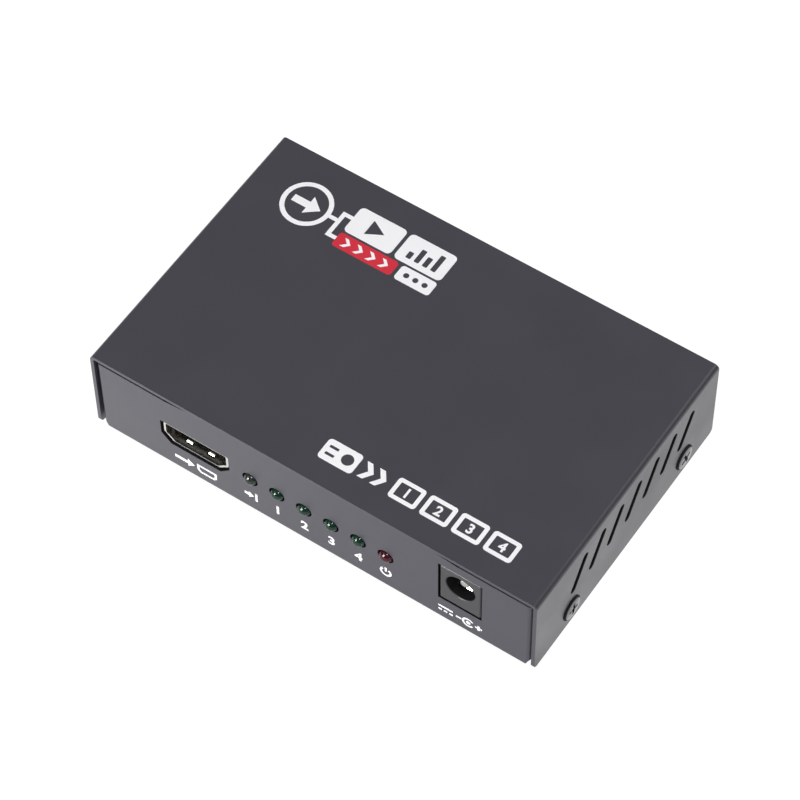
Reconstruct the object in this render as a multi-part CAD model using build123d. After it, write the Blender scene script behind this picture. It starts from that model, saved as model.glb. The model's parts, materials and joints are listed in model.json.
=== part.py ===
from build123d import *
import os
from math import cos, radians

# A four-way video splitter in a folded steel case, in millimetres.
# The front panel faces -Y, the four outputs face +Y, and z is 0 under the rubber feet.

# Case, over the cover; its height comes from what stands in it
case_w = 100.0
case_d = 63.5
sheet_t = 0.8
headroom = 3.6
bend_in = 0.3
overrun = 1.0

# Cover
cover_lift = 1.1
cover_corner_r = 1.0
vent_count = 7
vent_length = 9.0
vent_w = 1.5
vent_pitch_share = 0.15625
vent_tilt = 30.0
vent_shift_y = 1.0
vent_mid_h = 14.85

# Cover screws
screw_d = 3.0
screw_play = 0.15
thread_play = 0.05
cover_screw_front_inset = 12.5
cover_screw_back_inset = 11.0
cover_screw_h = 5.7
cover_screw_length = 4.2
cover_head_d = 5.8
cover_head_h = 0.55
cover_head_round = 0.3

# Chassis
panel_recess = 0.2
panel_side_gap = 0.3
panel_top_gap = 0.1
panel_end_drop = 0.85
panel_level_w = 50.0
panel_taper_w = 8.0
panel_return = 6.0
relief_h = 1.5
flange_h = 9.6
flange_inset = 7.75
collar_d = 5.0
collar_length = 1.0

# Feet
foot_t = 1.2
foot_d = 8.0
foot_edge = 0.5
foot_inset_x = 10.0
foot_inset_y = 9.0

# Board and its standoffs
board_side_gap = 1.9
board_end_gap = 0.45
board_t = 1.6
board_corner_r = 1.0
standoff_h = 5.0
standoff_d = 5.5
standoff_side_inset = 4.5
standoff_front_inset = 5.8
standoff_back_inset = 15.8
rivet_d = 4.2
rivet_play = 0.03
board_screw_length = 5.0
board_head_d = 5.5
board_head_h = 1.8
board_head_round = 0.6
board_hole_play = 0.2
thread_depth = 4.4
cross_w = 0.75
cross_length = 3.0
cross_depth = 0.35

# Sockets: the mouth as seen from the front, widest at the top
mouth_w = 14.0
mouth_h = 4.55
mouth_floor_w = 10.0
mouth_knee_w = 12.7
mouth_knee_h = 1.3
mouth_side_h = 2.85
mouth_corner_r = 0.35
shell_t = 0.3
shell_length = 11.5
shell_lift = 0.55
lip_out = 0.25
lip_length = 0.45
lip_round = 0.1
finger_x = 2.55
finger_w = 1.5
finger_gap = 0.25
finger_tip_y = 1.1
finger_root_y = 6.2
bump_y = 1.75
bump_r = 0.6
bump_h = 0.36
bump_w = 1.3
leg_w = 1.2
leg_front_y = 4.4
leg_back_y = 9.4
leg_play = 0.12
leg_under = 0.6
plug_fit = 0.02
plug_y = 7.8
skirt_t = 0.8
skirt_w = 13.4
tongue_w = 11.6
tongue_t = 1.0
tongue_mid_h = 2.4
tongue_tip_y = 1.9
tongue_nose = 0.25
contact_count = 19
contact_pitch = 0.5
contact_w = 0.26
contact_t = 0.12
contact_start_y = 2.5
contact_foot = 0.9
slot_play = 0.04
port_gap = 0.4
port_chamfer = 2.2
port_corner_r = 0.3

# Where the sockets stand
input_x_share = -0.265
input_recess = 0.37
output_count = 4
output_pitch_share = 0.215
output_reach = 0.8

# Lamps
led_count = 6
led_start_gap = 12.75
led_pitch_share = 0.1302
led_axis_h = 3.2
led_d = 3.0
led_rim_d = 3.7
led_rim_t = 1.0
led_barrel = 2.8
led_hole_play = 0.27
led_flat = 0.25
lead_t = 0.5
lead_spacing = 2.54
lead_run = 1.6
lead_under = 0.6
lead_play = 0.15

# Power jack
jack_inset = 12.1
jack_recess = 0.1
jack_w = 9.0
jack_h = 11.0
jack_front_t = 3.4
jack_length = 14.0
jack_shoulder_h = 6.4
jack_barrel_d = 8.6
jack_edge = 0.25
bore_d = 6.3
bore_depth = 9.6
bore_mouth = 0.2
jack_cut_gap = 0.3
pin_d = 2.1
pin_tip_y = 1.2
pin_nose = 0.45
pin_fit = 0.02
tab_w = 3.0
tab_t = 0.3
tab_under = 0.6
tab_play = 0.12
leaf_w = 3.5
leaf_t = 0.3
leaf_side_gap = 0.3
leaf_tip_y = 2.4
leaf_crest_y = 3.6
leaf_knee_y = 5.2
leaf_root_y = 10.4
leaf_crest_rise = 0.7
leaf_drop = 0.55
leaf_tip_drop = 1.2
leaf_room = 0.9
leaf_gap = 0.3
switch_w = 1.2
switch_y = 8.0
switch_reach = 2.4

# Splitter chip, its pad and its heatsink
chip_w = 14.0
chip_h = 1.4
chip_stand = 0.1
chip_lead_count = 16
chip_lead_pitch = 0.8
gull_reach = 1.0
gull_foot = 0.5
gull_t = 0.15
gull_w = 0.3
pad_w = 13.0
pad_t = 0.3
sink_w = 19.0
sink_base_t = 1.5
sink_h = 5.6
fin_count = 8
fin_t = 0.9

# Smaller parts on the board
soic_w = 3.9
soic_length = 4.9
soic_h = 1.45
soic_lead_count = 4
soic_pitch = 1.27
soic_lead_w = 0.4
reg_w = 6.5
reg_d = 3.5
reg_h = 1.6
reg_lead_count = 3
reg_lead_w = 0.7
reg_pitch = 2.3
reg_tab_w = 3.0
crystal_length = 10.3
crystal_w = 3.8
crystal_h = 3.4
crystal_rim = 0.4
crystal_rim_t = 0.5
can_d = 6.3
can_h = 5.8
can_base_w = 6.6
can_base_t = 1.2
can_cut = 1.3
can_groove = 0.25
can_groove_h = 0.9
can_score_w = 0.3
can_score_depth = 0.15
coil_w = 6.6
coil_h = 3.2
coil_corner = 1.2
coil_pad = 0.4
fuse_length = 4.5
fuse_w = 3.2
fuse_h = 0.9
diode_length = 4.3
diode_w = 2.6
diode_h = 2.2
guard_length = 2.5
guard_w = 1.0
guard_h = 0.6
guard_back = 2.6
mlcc_length = 1.6
mlcc_w = 0.8
mlcc_h = 0.7
resistor_h = 0.45
cap_end = 0.3

# Places of the smaller parts, as shares of half the board's width and half its free depth
chip_place_share = (-0.088, 0.30)
memory_place_shares = ((-0.56, 0.08), (-0.56, 0.49), (0.36, 0.52))
regulator_place_shares = ((0.44, -0.35), (0.78, 0.29))
can_place_shares = ((0.28, -0.79), (0.55, 0.10), (0.62, 0.64))
coil_place_share = (0.20, -0.32)
fuse_place_share = (0.45, -0.80)
diode_place_share = (0.36, -0.02)
crystal_place_share = (-0.36, -0.43)
capacitor_column_shares = (-0.38, -0.33, 0.16, 0.21, 0.26)
capacitor_row_shares = (0.17, 0.32, 0.46, 0.61)
resistor_column_shares = (-0.85, -0.80, -0.75, 0.03, 0.08)
resistor_row_shares = (-0.55, -0.43, -0.31)

# Heights and edges that the sizes above give
bend_out = bend_in + sheet_t
case_h = 2 * sheet_t + standoff_h + board_t + jack_h + headroom
base_z = foot_t
floor_z = base_z + sheet_t
top_z = base_z + case_h
ceiling_z = top_z - sheet_t
board_z = floor_z + standoff_h
board_top = board_z + board_t
front_edge_y = -case_d / 2
front_face_y = front_edge_y + panel_recess
panel_top = ceiling_z - panel_top_gap
side_x = case_w / 2 - sheet_t
panel_w = 2 * (side_x - panel_side_gap)
flange_length = case_d - 2 * flange_inset
screw_z = base_z + cover_screw_h
board_w = 2 * (side_x - sheet_t - collar_length - board_side_gap)
board_d = -2 * (front_face_y + sheet_t + board_end_gap)
standoff_x = board_w / 2 - standoff_side_inset
standoff_front_y = -board_d / 2 + standoff_front_inset
standoff_back_y = board_d / 2 - standoff_back_inset
led_z = board_top + led_axis_h
led_tip_y = front_edge_y - output_reach
led_back_y = led_tip_y + led_d / 2 + led_barrel + led_rim_t
jack_x = board_w / 2 - jack_inset
jack_y = front_face_y + jack_recess
jack_axis_h = jack_shoulder_h
input_x = input_x_share * case_w
input_y = front_face_y + input_recess
led_first_x = input_x + led_start_gap
led_pitch = led_pitch_share * (jack_x - led_first_x)
output_pitch = output_pitch_share * case_w
output_y = case_d / 2 + output_reach
free_front_y = led_back_y + lead_run + lead_t
free_back_y = output_y - shell_length - skirt_t - guard_back - guard_w
mouth_floor_h = shell_lift + shell_t
lip_margin = shell_t + lip_out


def block(x0, x1, y0, y1, z0, z1):
    """Upright block between two corners."""
    return Pos(x0, y0, z0) * Box(x1 - x0, y1 - y0, z1 - z0, align=(Align.MIN,) * 3)


def post(x, y, z, diameter, height):
    """Upright round post standing on z."""
    return Pos(x, y, z) * Cylinder(diameter / 2, height, align=(Align.CENTER, Align.CENTER, Align.MIN))


def rod(x, y, z, diameter, length):
    """Round bar that starts at y and runs back along +Y."""
    bar = Cylinder(diameter / 2, length, align=(Align.CENTER, Align.CENTER, Align.MIN))
    return Pos(x, y, z) * Rot(-90, 0, 0) * bar


def crosswise_rod(x, y, z, diameter, length):
    """Round bar centred on x that lies along X."""
    return Pos(x, y, z) * Rot(0, 90, 0) * Cylinder(diameter / 2, length)


def side_profile(points, x, width):
    """Solid of the given width, centred on x, with a profile of (y, z) points."""
    face = make_face(Polyline(*[(x - width / 2, y, z) for y, z in points], close=True))
    return extrude(face, amount=width, dir=(1, 0, 0))


def folded_channel(width, length, height):
    """Sheet folded into a channel that opens upwards and runs along Y."""
    low = (Align.CENTER, Align.CENTER, Align.MIN)
    outer = Box(width, length, height, align=low)
    outer = fillet(outer.edges().filter_by(Axis.Y).group_by(Axis.Z)[0], bend_out)
    inner = Pos(0, 0, sheet_t) * Box(width - 2 * sheet_t, length + overrun, height, align=low)
    inner = fillet(inner.edges().filter_by(Axis.Y).group_by(Axis.Z)[0], bend_in)
    return outer - inner


def cross_recess(length, depth):
    """Cross slot for a driver, cut down from z = 0."""
    down = (Align.CENTER, Align.CENTER, Align.MAX)
    return Box(length, cross_w, depth, align=down) + Box(cross_w, length, depth, align=down)


def screw(length, head_d, head_h, head_round):
    """Screw pointing down, with its head on z = 0."""
    head = post(0, 0, 0, head_d, head_h)
    head = fillet(head.edges().group_by(Axis.Z)[-1], head_round)
    head = head - Pos(0, 0, head_h) * cross_recess(cross_length, cross_depth)
    shank = post(0, 0, -length, screw_d, length)
    return head + chamfer(shank.edges().group_by(Axis.Z)[0], head_round)


# Case
def cover_screw_places():
    """Y of the front and the back screw."""
    return (-case_d / 2 + cover_screw_front_inset, case_d / 2 - cover_screw_back_inset)


def top_cover():
    """Top with two sides, open at the front, the back and the bottom."""
    sheet = Rot(180, 0, 0) * folded_channel(case_w, case_d, case_h - cover_lift)
    sheet = Pos(0, 0, top_z) * sheet
    corners = sheet.edges().filter_by(Axis.X).group_by(Axis.Z)[0]
    corners = corners.filter_by(lambda edge: edge.length < 2 * sheet_t)
    sheet = fillet(corners, cover_corner_r)
    cutters = []
    wide = case_w + 2 * overrun
    front, back = cover_screw_places()
    vent_pitch = vent_pitch_share * (back - front)
    first = (front + back) / 2 + vent_shift_y - vent_pitch * (vent_count - 1) / 2
    for index in range(vent_count):
        slot = Rot(0, 0, 90 - vent_tilt) * SlotOverall(vent_length, vent_w)
        place = Plane((-wide / 2, first + index * vent_pitch, base_z + vent_mid_h), (0, 1, 0), (1, 0, 0))
        cutters.append(extrude(place * slot, amount=wide))
    for y in cover_screw_places():
        cutters.append(crosswise_rod(0, y, screw_z, screw_d + 2 * screw_play, wide))
    return sheet - cutters


def port_opening(x, y_start):
    """Cutter for one socket: a rectangle with its two lower corners cut off."""
    wide = mouth_w + 2 * (lip_margin + port_gap)
    high = mouth_h + 2 * (lip_margin + port_gap) - lip_out
    middle = board_top + mouth_floor_h + mouth_h / 2
    face = Plane((x, y_start, middle), (1, 0, 0), (0, -1, 0)) * Rectangle(wide, high)
    low = face.vertices().group_by(Axis.Z)[0]
    face = chamfer(low, port_chamfer)
    face = fillet(face.vertices().group_by(Axis.Z)[-1], port_corner_r)
    return extrude(face, amount=2 * overrun + sheet_t, dir=(0, 1, 0))


def end_panel():
    """Front panel with its two ends bent back, standing above the chassis floor."""
    tall = panel_top - base_z - bend_out
    sheet = Rot(-90, 0, 0) * folded_channel(panel_w, tall, panel_return)
    sheet = Pos(0, front_face_y, base_z + bend_out + tall / 2) * sheet
    low = base_z + bend_out
    reach = front_face_y + panel_return + overrun
    for side in (-1, 1):
        end_x = side * panel_w / 2
        step_x = side * panel_level_w / 2
        ramp_x = side * (panel_level_w / 2 + panel_taper_w)
        far_x = end_x + side * overrun
        drop = panel_top - panel_end_drop
        crown = Polyline((step_x, 0, panel_top), (ramp_x, 0, drop), (far_x, 0, drop),
                         (far_x, 0, panel_top + overrun), (step_x, 0, panel_top + overrun), close=True)
        relief = Polyline((end_x - side * bend_out, 0, low), (end_x, 0, low + relief_h),
                          (far_x, 0, low + relief_h), (far_x, 0, low - overrun),
                          (end_x - side * bend_out, 0, low - overrun), close=True)
        for outline in (crown, relief):
            cutter = extrude(make_face(outline), amount=2 * case_d, both=True)
            sheet = sheet - cutter
    return sheet


def chassis():
    """Floor with folded front and back panels and two low side flanges."""
    run = panel_w - 2 * bend_out
    tray = Rot(0, 0, 90) * folded_channel(case_d - 2 * panel_recess, run, bend_out + relief_h)
    sides = folded_channel(2 * side_x, flange_length, flange_h)
    body = Pos(0, 0, base_z) * (tray + sides)
    front = end_panel()
    body = body + front + Rot(0, 0, 180) * front
    threads = []
    for side in (-1, 1):
        for y in cover_screw_places():
            inner_x = side * (side_x - sheet_t - collar_length / 2)
            body = body + crosswise_rod(inner_x, y, screw_z, collar_d, collar_length)
            threads.append(crosswise_rod(side * side_x, y, screw_z, screw_d + 2 * thread_play,
                                         4 * (sheet_t + collar_length)))
    for x, y in standoff_places():
        threads.append(post(x, y, base_z - overrun, rivet_d + 2 * rivet_play, sheet_t + 2 * overrun))
    front_start = front_face_y - overrun
    threads.append(port_opening(input_x, front_start))
    for x in output_places():
        threads.append(port_opening(x, -front_face_y - sheet_t - overrun))
    for index in range(led_count):
        x = led_first_x + index * led_pitch
        threads.append(rod(x, front_start, led_z, led_d + 2 * led_hole_play, sheet_t + 2 * overrun))
    half = jack_w / 2 + jack_cut_gap
    threads.append(block(jack_x - half, jack_x + half, front_start, front_start + sheet_t + 2 * overrun,
                         board_top - jack_cut_gap, board_top + jack_h + jack_cut_gap))
    return body - threads


def cover_screws():
    """Four low-headed screws through the cover's sides."""
    made = []
    for side in (-1, 1):
        for y in cover_screw_places():
            piece = Rot(0, side * 90, 0) * screw(cover_screw_length, cover_head_d, cover_head_h,
                                                 cover_head_round)
            made.append(Pos(side * case_w / 2, y, screw_z) * piece)
    return made


def rubber_feet():
    """Four stick-on discs under the floor."""
    made = []
    for x in (-1, 1):
        for y in (-1, 1):
            disc = post(x * (case_w / 2 - foot_inset_x), y * (case_d / 2 - foot_inset_y), 0, foot_d, foot_t)
            made.append(fillet(disc.edges().group_by(Axis.Z)[0], foot_edge))
    return made


# Board and what carries it
def standoff_places():
    """Centres of the four standoffs."""
    return [(x, y) for x in (-standoff_x, standoff_x) for y in (standoff_front_y, standoff_back_y)]


def output_places():
    """X of each output socket, numbered from the left as seen from the front."""
    first = -output_pitch * (output_count - 1) / 2
    return [first + index * output_pitch for index in range(output_count)]


def standoffs():
    """Round threaded posts riveted into the floor."""
    made = []
    for x, y in standoff_places():
        body = post(x, y, floor_z, standoff_d, standoff_h) + post(x, y, base_z, rivet_d, sheet_t)
        bore = post(x, y, board_z - thread_depth, screw_d + 2 * thread_play, thread_depth + overrun)
        made.append(body - bore)
    return made


def board_screws():
    """Screws that hold the board on the standoffs."""
    piece = screw(board_screw_length, board_head_d, board_head_h, board_head_round)
    return [Pos(x, y, board_top) * piece for x, y in standoff_places()]


def socket_legs():
    """Places of one shell's four legs, seen from its mouth: x of the middle and y."""
    leg_x = mouth_w / 2 + shell_t / 2
    return [(side * leg_x, y) for side in (-1, 1) for y in (leg_front_y, leg_back_y)]


def leg_hole(x, y):
    """Cutter in the board for one socket leg."""
    half_x = shell_t / 2 + leg_play
    half_y = leg_w / 2 + leg_play
    return block(x - half_x, x + half_x, y - half_y, y + half_y, board_z - overrun, board_top + overrun)


def led_lead_places(index):
    """X and y of the two leads of one lamp."""
    x = led_first_x + index * led_pitch
    y = led_back_y + lead_run
    return [(x - lead_spacing / 2, y), (x + lead_spacing / 2, y)]


def circuit_board():
    """Board with a hole or slot for everything that goes through it."""
    outline = RectangleRounded(board_w, board_d, board_corner_r)
    board = extrude(Pos(0, 0, board_z) * outline, amount=board_t)
    tall = board_t + 2 * overrun
    low = board_z - overrun
    cutters = [post(x, y, low, screw_d + 2 * board_hole_play, tall) for x, y in standoff_places()]
    for x, y in socket_legs():
        cutters.append(leg_hole(input_x + x, input_y + y))
        for out_x in output_places():
            cutters.append(leg_hole(out_x - x, output_y - y))
    for index in range(led_count):
        for x, y in led_lead_places(index):
            cutters.append(post(x, y, low, 2 * (lead_t / 2 + lead_play) * 2 ** 0.5, tall))
    for x, y, wide, deep in jack_tab_places():
        half_x = wide / 2 + tab_play
        half_y = deep / 2 + tab_play
        cutters.append(block(jack_x + x - half_x, jack_x + x + half_x, jack_y + y - half_y,
                             jack_y + y + half_y, low, low + tall))
    return board - cutters


# Sockets, made with the mouth at y = 0 facing -Y and standing on z = 0
def mouth_face(margin):
    """The mouth's outline, grown by the margin, at y = 0."""
    floor_h = mouth_floor_h
    half = [(mouth_w / 2, floor_h + mouth_h), (mouth_w / 2, floor_h + mouth_h - mouth_side_h),
            (mouth_knee_w / 2, floor_h + mouth_knee_h), (mouth_floor_w / 2, floor_h)]
    points = half + [(-x, z) for x, z in reversed(half)]
    face = make_face(Polyline(*[(x, 0, z) for x, z in points], close=True))
    face = fillet(face.vertices(), mouth_corner_r)
    if margin:
        face = offset(face, margin)
    return face


def mouth_prism(margin, start, length):
    """The grown outline run back along +Y from the given start."""
    return Pos(0, start, 0) * extrude(mouth_face(margin), amount=length, dir=(0, 1, 0))


def spring_finger(x, wall_z, side):
    """Finger in the shell's wall at wall_z, with its bump on the given side, and its window."""
    half = finger_w / 2
    window = block(x - half - finger_gap, x + half + finger_gap, finger_tip_y - finger_gap, finger_root_y,
                   wall_z - shell_t / 2 - shell_t, wall_z + shell_t / 2 + shell_t)
    strip = block(x - half, x + half, finger_tip_y, finger_root_y + finger_gap,
                  wall_z - shell_t / 2, wall_z + shell_t / 2)
    crest = wall_z + side * (shell_t / 2 + bump_h - bump_r)
    bump = crosswise_rod(x, bump_y, crest, 2 * bump_r, bump_w)
    keep = Pos(x, bump_y, wall_z + side * bump_r) * Box(bump_w, 4 * bump_r, 2 * bump_r)
    return window, strip + (bump & keep)


def socket_shell():
    """Folded metal shell with a lip, four spring fingers and four legs."""
    body = mouth_prism(shell_t, 0, shell_length)
    lip = mouth_prism(lip_margin, 0, lip_length)
    lip = fillet(lip.faces().sort_by(Axis.Y)[0].edges(), lip_round)
    shell = body + lip - mouth_prism(0, -overrun, shell_length + 2 * overrun)
    windows = []
    strips = []
    floor_wall = mouth_floor_h - shell_t / 2
    roof_wall = mouth_floor_h + mouth_h + shell_t / 2
    for x in (-finger_x, finger_x):
        for wall_z, side in ((floor_wall, 1), (roof_wall, -1)):
            window, strip = spring_finger(x, wall_z, side)
            windows.append(window)
            strips.append(strip)
    shell = shell - windows + strips
    leg_top = mouth_floor_h + mouth_h - mouth_corner_r - shell_t
    for x, y in socket_legs():
        shell = shell + block(x - shell_t / 2, x + shell_t / 2, y - leg_w / 2, y + leg_w / 2,
                              -board_t - leg_under, leg_top)
    return shell


def contact_levels():
    """Height of the underside of the upper and the lower row of contacts."""
    middle = mouth_floor_h + tongue_mid_h
    return (middle + tongue_t / 2, middle - tongue_t / 2 - contact_t)


def socket_insulator():
    """Plug of the shell's back end with its tongue and the skirt that stands on the board."""
    middle = mouth_floor_h + tongue_mid_h
    plug = mouth_prism(-plug_fit, plug_y, shell_length - plug_y)
    tongue = block(-tongue_w / 2, tongue_w / 2, tongue_tip_y, plug_y,
                   middle - tongue_t / 2, middle + tongue_t / 2)
    tongue = chamfer(tongue.faces().sort_by(Axis.Y)[0].edges().filter_by(Axis.X), tongue_nose)
    skirt = block(-skirt_w / 2, skirt_w / 2, shell_length, shell_length + skirt_t, 0, mouth_floor_h + mouth_h)
    body = plug + tongue + skirt
    half = contact_pitch * (contact_count - 1) / 2 + contact_w / 2 + slot_play
    upper, lower = contact_levels()
    for low, high in ((upper, upper + contact_t + slot_play), (lower - slot_play, lower + contact_t)):
        body = body - block(-half, half, plug_y - slot_play, shell_length + skirt_t + overrun, low, high)
    return body


def socket_contacts():
    """Flat contacts along both faces of the tongue, each with a tail down to the board."""
    back = shell_length + skirt_t
    upper, lower = contact_levels()
    made = []
    for index in range(contact_count):
        x = (index - (contact_count - 1) / 2) * contact_pitch
        level = lower if index % 2 else upper
        profile = [(contact_start_y, level), (contact_start_y, level + contact_t),
                   (back + contact_t, level + contact_t), (back + contact_t, contact_t),
                   (back + contact_foot, contact_t), (back + contact_foot, 0), (back, 0), (back, level)]
        made.append(side_profile(profile, x, contact_w))
    return made


# Lamps
def led_lens():
    """Lamp body with a dome at y = 0 facing -Y and a rim with one flat side."""
    dome = Pos(0, led_d / 2, 0) * Sphere(led_d / 2)
    rim_y = led_d / 2 + led_barrel
    body = rod(0, led_d / 2, 0, led_d, led_barrel) + rod(0, rim_y, 0, led_rim_d, led_rim_t)
    flat = block(led_rim_d / 2 - led_flat, led_rim_d, rim_y - overrun, rim_y + led_rim_t + overrun,
                 -led_rim_d, led_rim_d)
    cut = flat & rod(0, rim_y, 0, 2 * led_rim_d, led_rim_t)
    return dome + body - cut


def led_lead(x, y):
    """One lead from the back of a lamp, bent down through the board."""
    start = led_back_y
    half = lead_t / 2
    low = board_z - lead_under
    profile = [(start, led_z - half), (start, led_z + half), (y + half, led_z + half),
               (y + half, low), (y - half, low), (y - half, led_z - half)]
    return side_profile(profile, x, lead_t)


# Power jack, made with its face at y = 0 facing -Y and standing on z = 0
def jack_tab_places():
    """Middle and section of the three terminals where they cross the board."""
    sleeve_y = leaf_root_y + leaf_gap + tab_t / 2
    switch_x = -jack_w / 2 - tab_t / 2
    return [(0, jack_length + tab_t / 2, tab_w, tab_t), (0, sleeve_y, tab_w, tab_t),
            (switch_x, switch_y, tab_t, switch_w)]


def leaf_levels():
    """Height of the bore's floor and of the leaf's underside at its root."""
    bore_floor = jack_axis_h - bore_d / 2
    return bore_floor, bore_floor - leaf_drop - leaf_t


def switch_level():
    """Underside of the switch contact, just above the leaf at that depth."""
    return leaf_levels()[1] + leaf_t + leaf_gap + leaf_slope() * (leaf_root_y - switch_y + switch_w)


def leaf_slope():
    """Rise of the leaf towards the mouth, per unit of depth, behind its crest."""
    return leaf_drop / (leaf_root_y - leaf_knee_y)


def jack_body():
    """Moulded body with its bore and the channels of the contacts."""
    face = block(-jack_w / 2, jack_w / 2, 0, jack_front_t, 0, jack_h)
    face = chamfer(face.faces().sort_by(Axis.Y)[0].edges(), jack_edge)
    back = block(-jack_w / 2, jack_w / 2, jack_front_t, jack_length, 0, jack_shoulder_h)
    barrel = rod(0, jack_front_t, jack_axis_h, jack_barrel_d, jack_length - jack_front_t)
    body = face + back + barrel
    bore = rod(0, -overrun, jack_axis_h, bore_d, bore_depth + overrun)
    body = body - bore
    rim = body.edges().filter_by(GeomType.CIRCLE).group_by(Axis.Y)[0]
    body = chamfer(rim, bore_mouth)
    bore_floor, root_low = leaf_levels()
    half = leaf_w / 2 + leaf_side_gap
    channel = block(-half, half, leaf_tip_y - leaf_side_gap, leaf_root_y + leaf_gap + tab_t,
                    root_low - leaf_room, jack_axis_h)
    above = block(-half, half, bore_depth, jack_length, root_low + 2 * leaf_t + leaf_gap, jack_h)
    channel = channel - above
    drop = block(-tab_w / 2 - pin_fit, tab_w / 2 + pin_fit, leaf_root_y + leaf_gap,
                 leaf_root_y + leaf_gap + tab_t, -overrun, root_low)
    level = switch_level()
    side_slot = block(-jack_w / 2 - overrun, 0, switch_y - switch_w / 2, switch_y + switch_w / 2,
                      level, level + tab_t)
    pin_hole = rod(0, bore_depth - overrun, jack_axis_h, pin_d + 2 * pin_fit, jack_length)
    return body - [channel, drop, side_slot, pin_hole]


def jack_pin():
    """Centre pin with its terminal behind the body."""
    pin = rod(0, pin_tip_y, jack_axis_h, pin_d, jack_length - pin_tip_y)
    pin = fillet(pin.edges().filter_by(GeomType.CIRCLE).sort_by(Axis.Y)[0], pin_nose)
    tab = block(-tab_w / 2, tab_w / 2, jack_length, jack_length + tab_t, -board_t - tab_under,
                jack_axis_h + pin_d)
    return pin + tab


def jack_leaf():
    """Sprung leaf that presses on a plug's sleeve, crest near the mouth and root at the back."""
    bore_floor, root_low = leaf_levels()
    knee_low = root_low + leaf_drop
    crest_low = bore_floor + leaf_crest_rise - leaf_t
    low = [(leaf_root_y, root_low), (leaf_knee_y, knee_low), (leaf_crest_y, crest_low),
           (leaf_tip_y, crest_low - leaf_tip_drop)]
    high = [(y, z + leaf_t) for y, z in reversed(low)]
    leaf = side_profile(low + high, 0, leaf_w)
    bends = leaf.edges().filter_by(Axis.X)
    crest = bends.filter_by(lambda edge: abs(edge.center().Y - leaf_crest_y) < leaf_t / 2)
    return fillet(crest.group_by(Axis.Z)[-1], leaf_t)


def jack_sleeve_tab():
    """Terminal behind the leaf's root, down through the board."""
    y = leaf_root_y + leaf_gap
    return block(-tab_w / 2, tab_w / 2, y, y + tab_t, -board_t - tab_under, leaf_levels()[1] + 2 * leaf_t)


def jack_switch_tab():
    """Fixed contact over the leaf with a terminal down the side of the body."""
    level = switch_level()
    x = -jack_w / 2
    low_y = switch_y - switch_w / 2
    high_y = switch_y + switch_w / 2
    arm = block(x - tab_t, x + switch_reach, low_y, high_y, level, level + tab_t)
    return arm + block(x - tab_t, x, low_y, high_y, -board_t - tab_under, level + tab_t)


# Chips and small parts, made about x = y = 0 and standing on z = 0
def lead_row(edge, count, pitch, width, height, turn):
    """Row of leads that leave one side of a chip, step down and end in feet, turned about Z."""
    knee = gull_reach - gull_foot
    mid = chip_stand + height / 2
    points = [(0, mid), (knee, mid), (knee, gull_t), (gull_reach, gull_t), (gull_reach, 0),
              (knee - gull_t, 0), (knee - gull_t, mid - gull_t), (0, mid - gull_t)]
    made = []
    for index in range(count):
        y = (index - (count - 1) / 2) * pitch - width / 2
        face = make_face(Polyline(*[(edge + x, y, z) for x, z in points], close=True))
        made.append(Rot(0, 0, turn) * extrude(face, amount=width, dir=(0, 1, 0)))
    return made


def chip_body(wide, deep, height):
    """Moulded chip body held just off the board."""
    return block(-wide / 2, wide / 2, -deep / 2, deep / 2, chip_stand, chip_stand + height)


def share_place(share):
    """Board position from a pair of shares."""
    middle = (free_front_y + free_back_y) / 2
    return (share[0] * board_w / 2, middle + share[1] * (free_back_y - free_front_y) / 2)


def on_board(piece, x, y, turn=0):
    """Stand a piece on the board."""
    return Pos(x, y, board_top) * Rot(0, 0, turn) * piece


def end_capped(length, width, height):
    """Two-ended chip part: its body, and its two metal ends."""
    body = block(-length / 2 + cap_end, length / 2 - cap_end, -width / 2, width / 2, 0, height)
    ends = [block(-length / 2, -length / 2 + cap_end, -width / 2, width / 2, 0, height),
            block(length / 2 - cap_end, length / 2, -width / 2, width / 2, 0, height)]
    return body, ends


def splitter_chip():
    """Body, leads, pad and finned heatsink of the main chip."""
    top = chip_stand + chip_h
    leads = []
    for turn in (0, 90, 180, 270):
        leads += lead_row(chip_w / 2, chip_lead_count, chip_lead_pitch, gull_w, chip_h, turn)
    pad = block(-pad_w / 2, pad_w / 2, -pad_w / 2, pad_w / 2, top, top + pad_t)
    low = top + pad_t
    sink = block(-sink_w / 2, sink_w / 2, -sink_w / 2, sink_w / 2, low, low + sink_base_t)
    step = (sink_w - fin_t) / (fin_count - 1)
    for index in range(fin_count):
        fin_x = -sink_w / 2 + index * step
        sink = sink + block(fin_x, fin_x + fin_t, -sink_w / 2, sink_w / 2, low + sink_base_t, low + sink_h)
    x, y = share_place(chip_place_share)
    return {"splitter_chip": [on_board(chip_body(chip_w, chip_w, chip_h), x, y)],
            "splitter_chip_leads": [on_board(lead, x, y) for lead in leads],
            "thermal_pad": [on_board(pad, x, y)],
            "heatsink": [on_board(sink, x, y)]}


def memory_chips():
    """Small eight-lead chips and their leads."""
    leads = lead_row(soic_w / 2, soic_lead_count, soic_pitch, soic_lead_w, soic_h, 0)
    leads += lead_row(soic_w / 2, soic_lead_count, soic_pitch, soic_lead_w, soic_h, 180)
    body = chip_body(soic_w, soic_length, soic_h)
    places = [share_place(share) for share in memory_place_shares]
    return {"memory_chips": [on_board(body, x, y) for x, y in places],
            "memory_chip_leads": [on_board(lead, x, y) for x, y in places for lead in leads]}


def regulators():
    """Two voltage regulators with three leads and a wide tab each."""
    leads = lead_row(reg_d / 2, reg_lead_count, reg_pitch, reg_lead_w, reg_h, 0)
    leads += lead_row(reg_d / 2, 1, reg_pitch, reg_tab_w, reg_h, 180)
    body = chip_body(reg_d, reg_w, reg_h)
    places = [share_place(share) for share in regulator_place_shares]
    return {"voltage_regulators": [on_board(body, x, y) for x, y in places],
            "regulator_leads": [on_board(lead, x, y) for x, y in places for lead in leads]}


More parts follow.
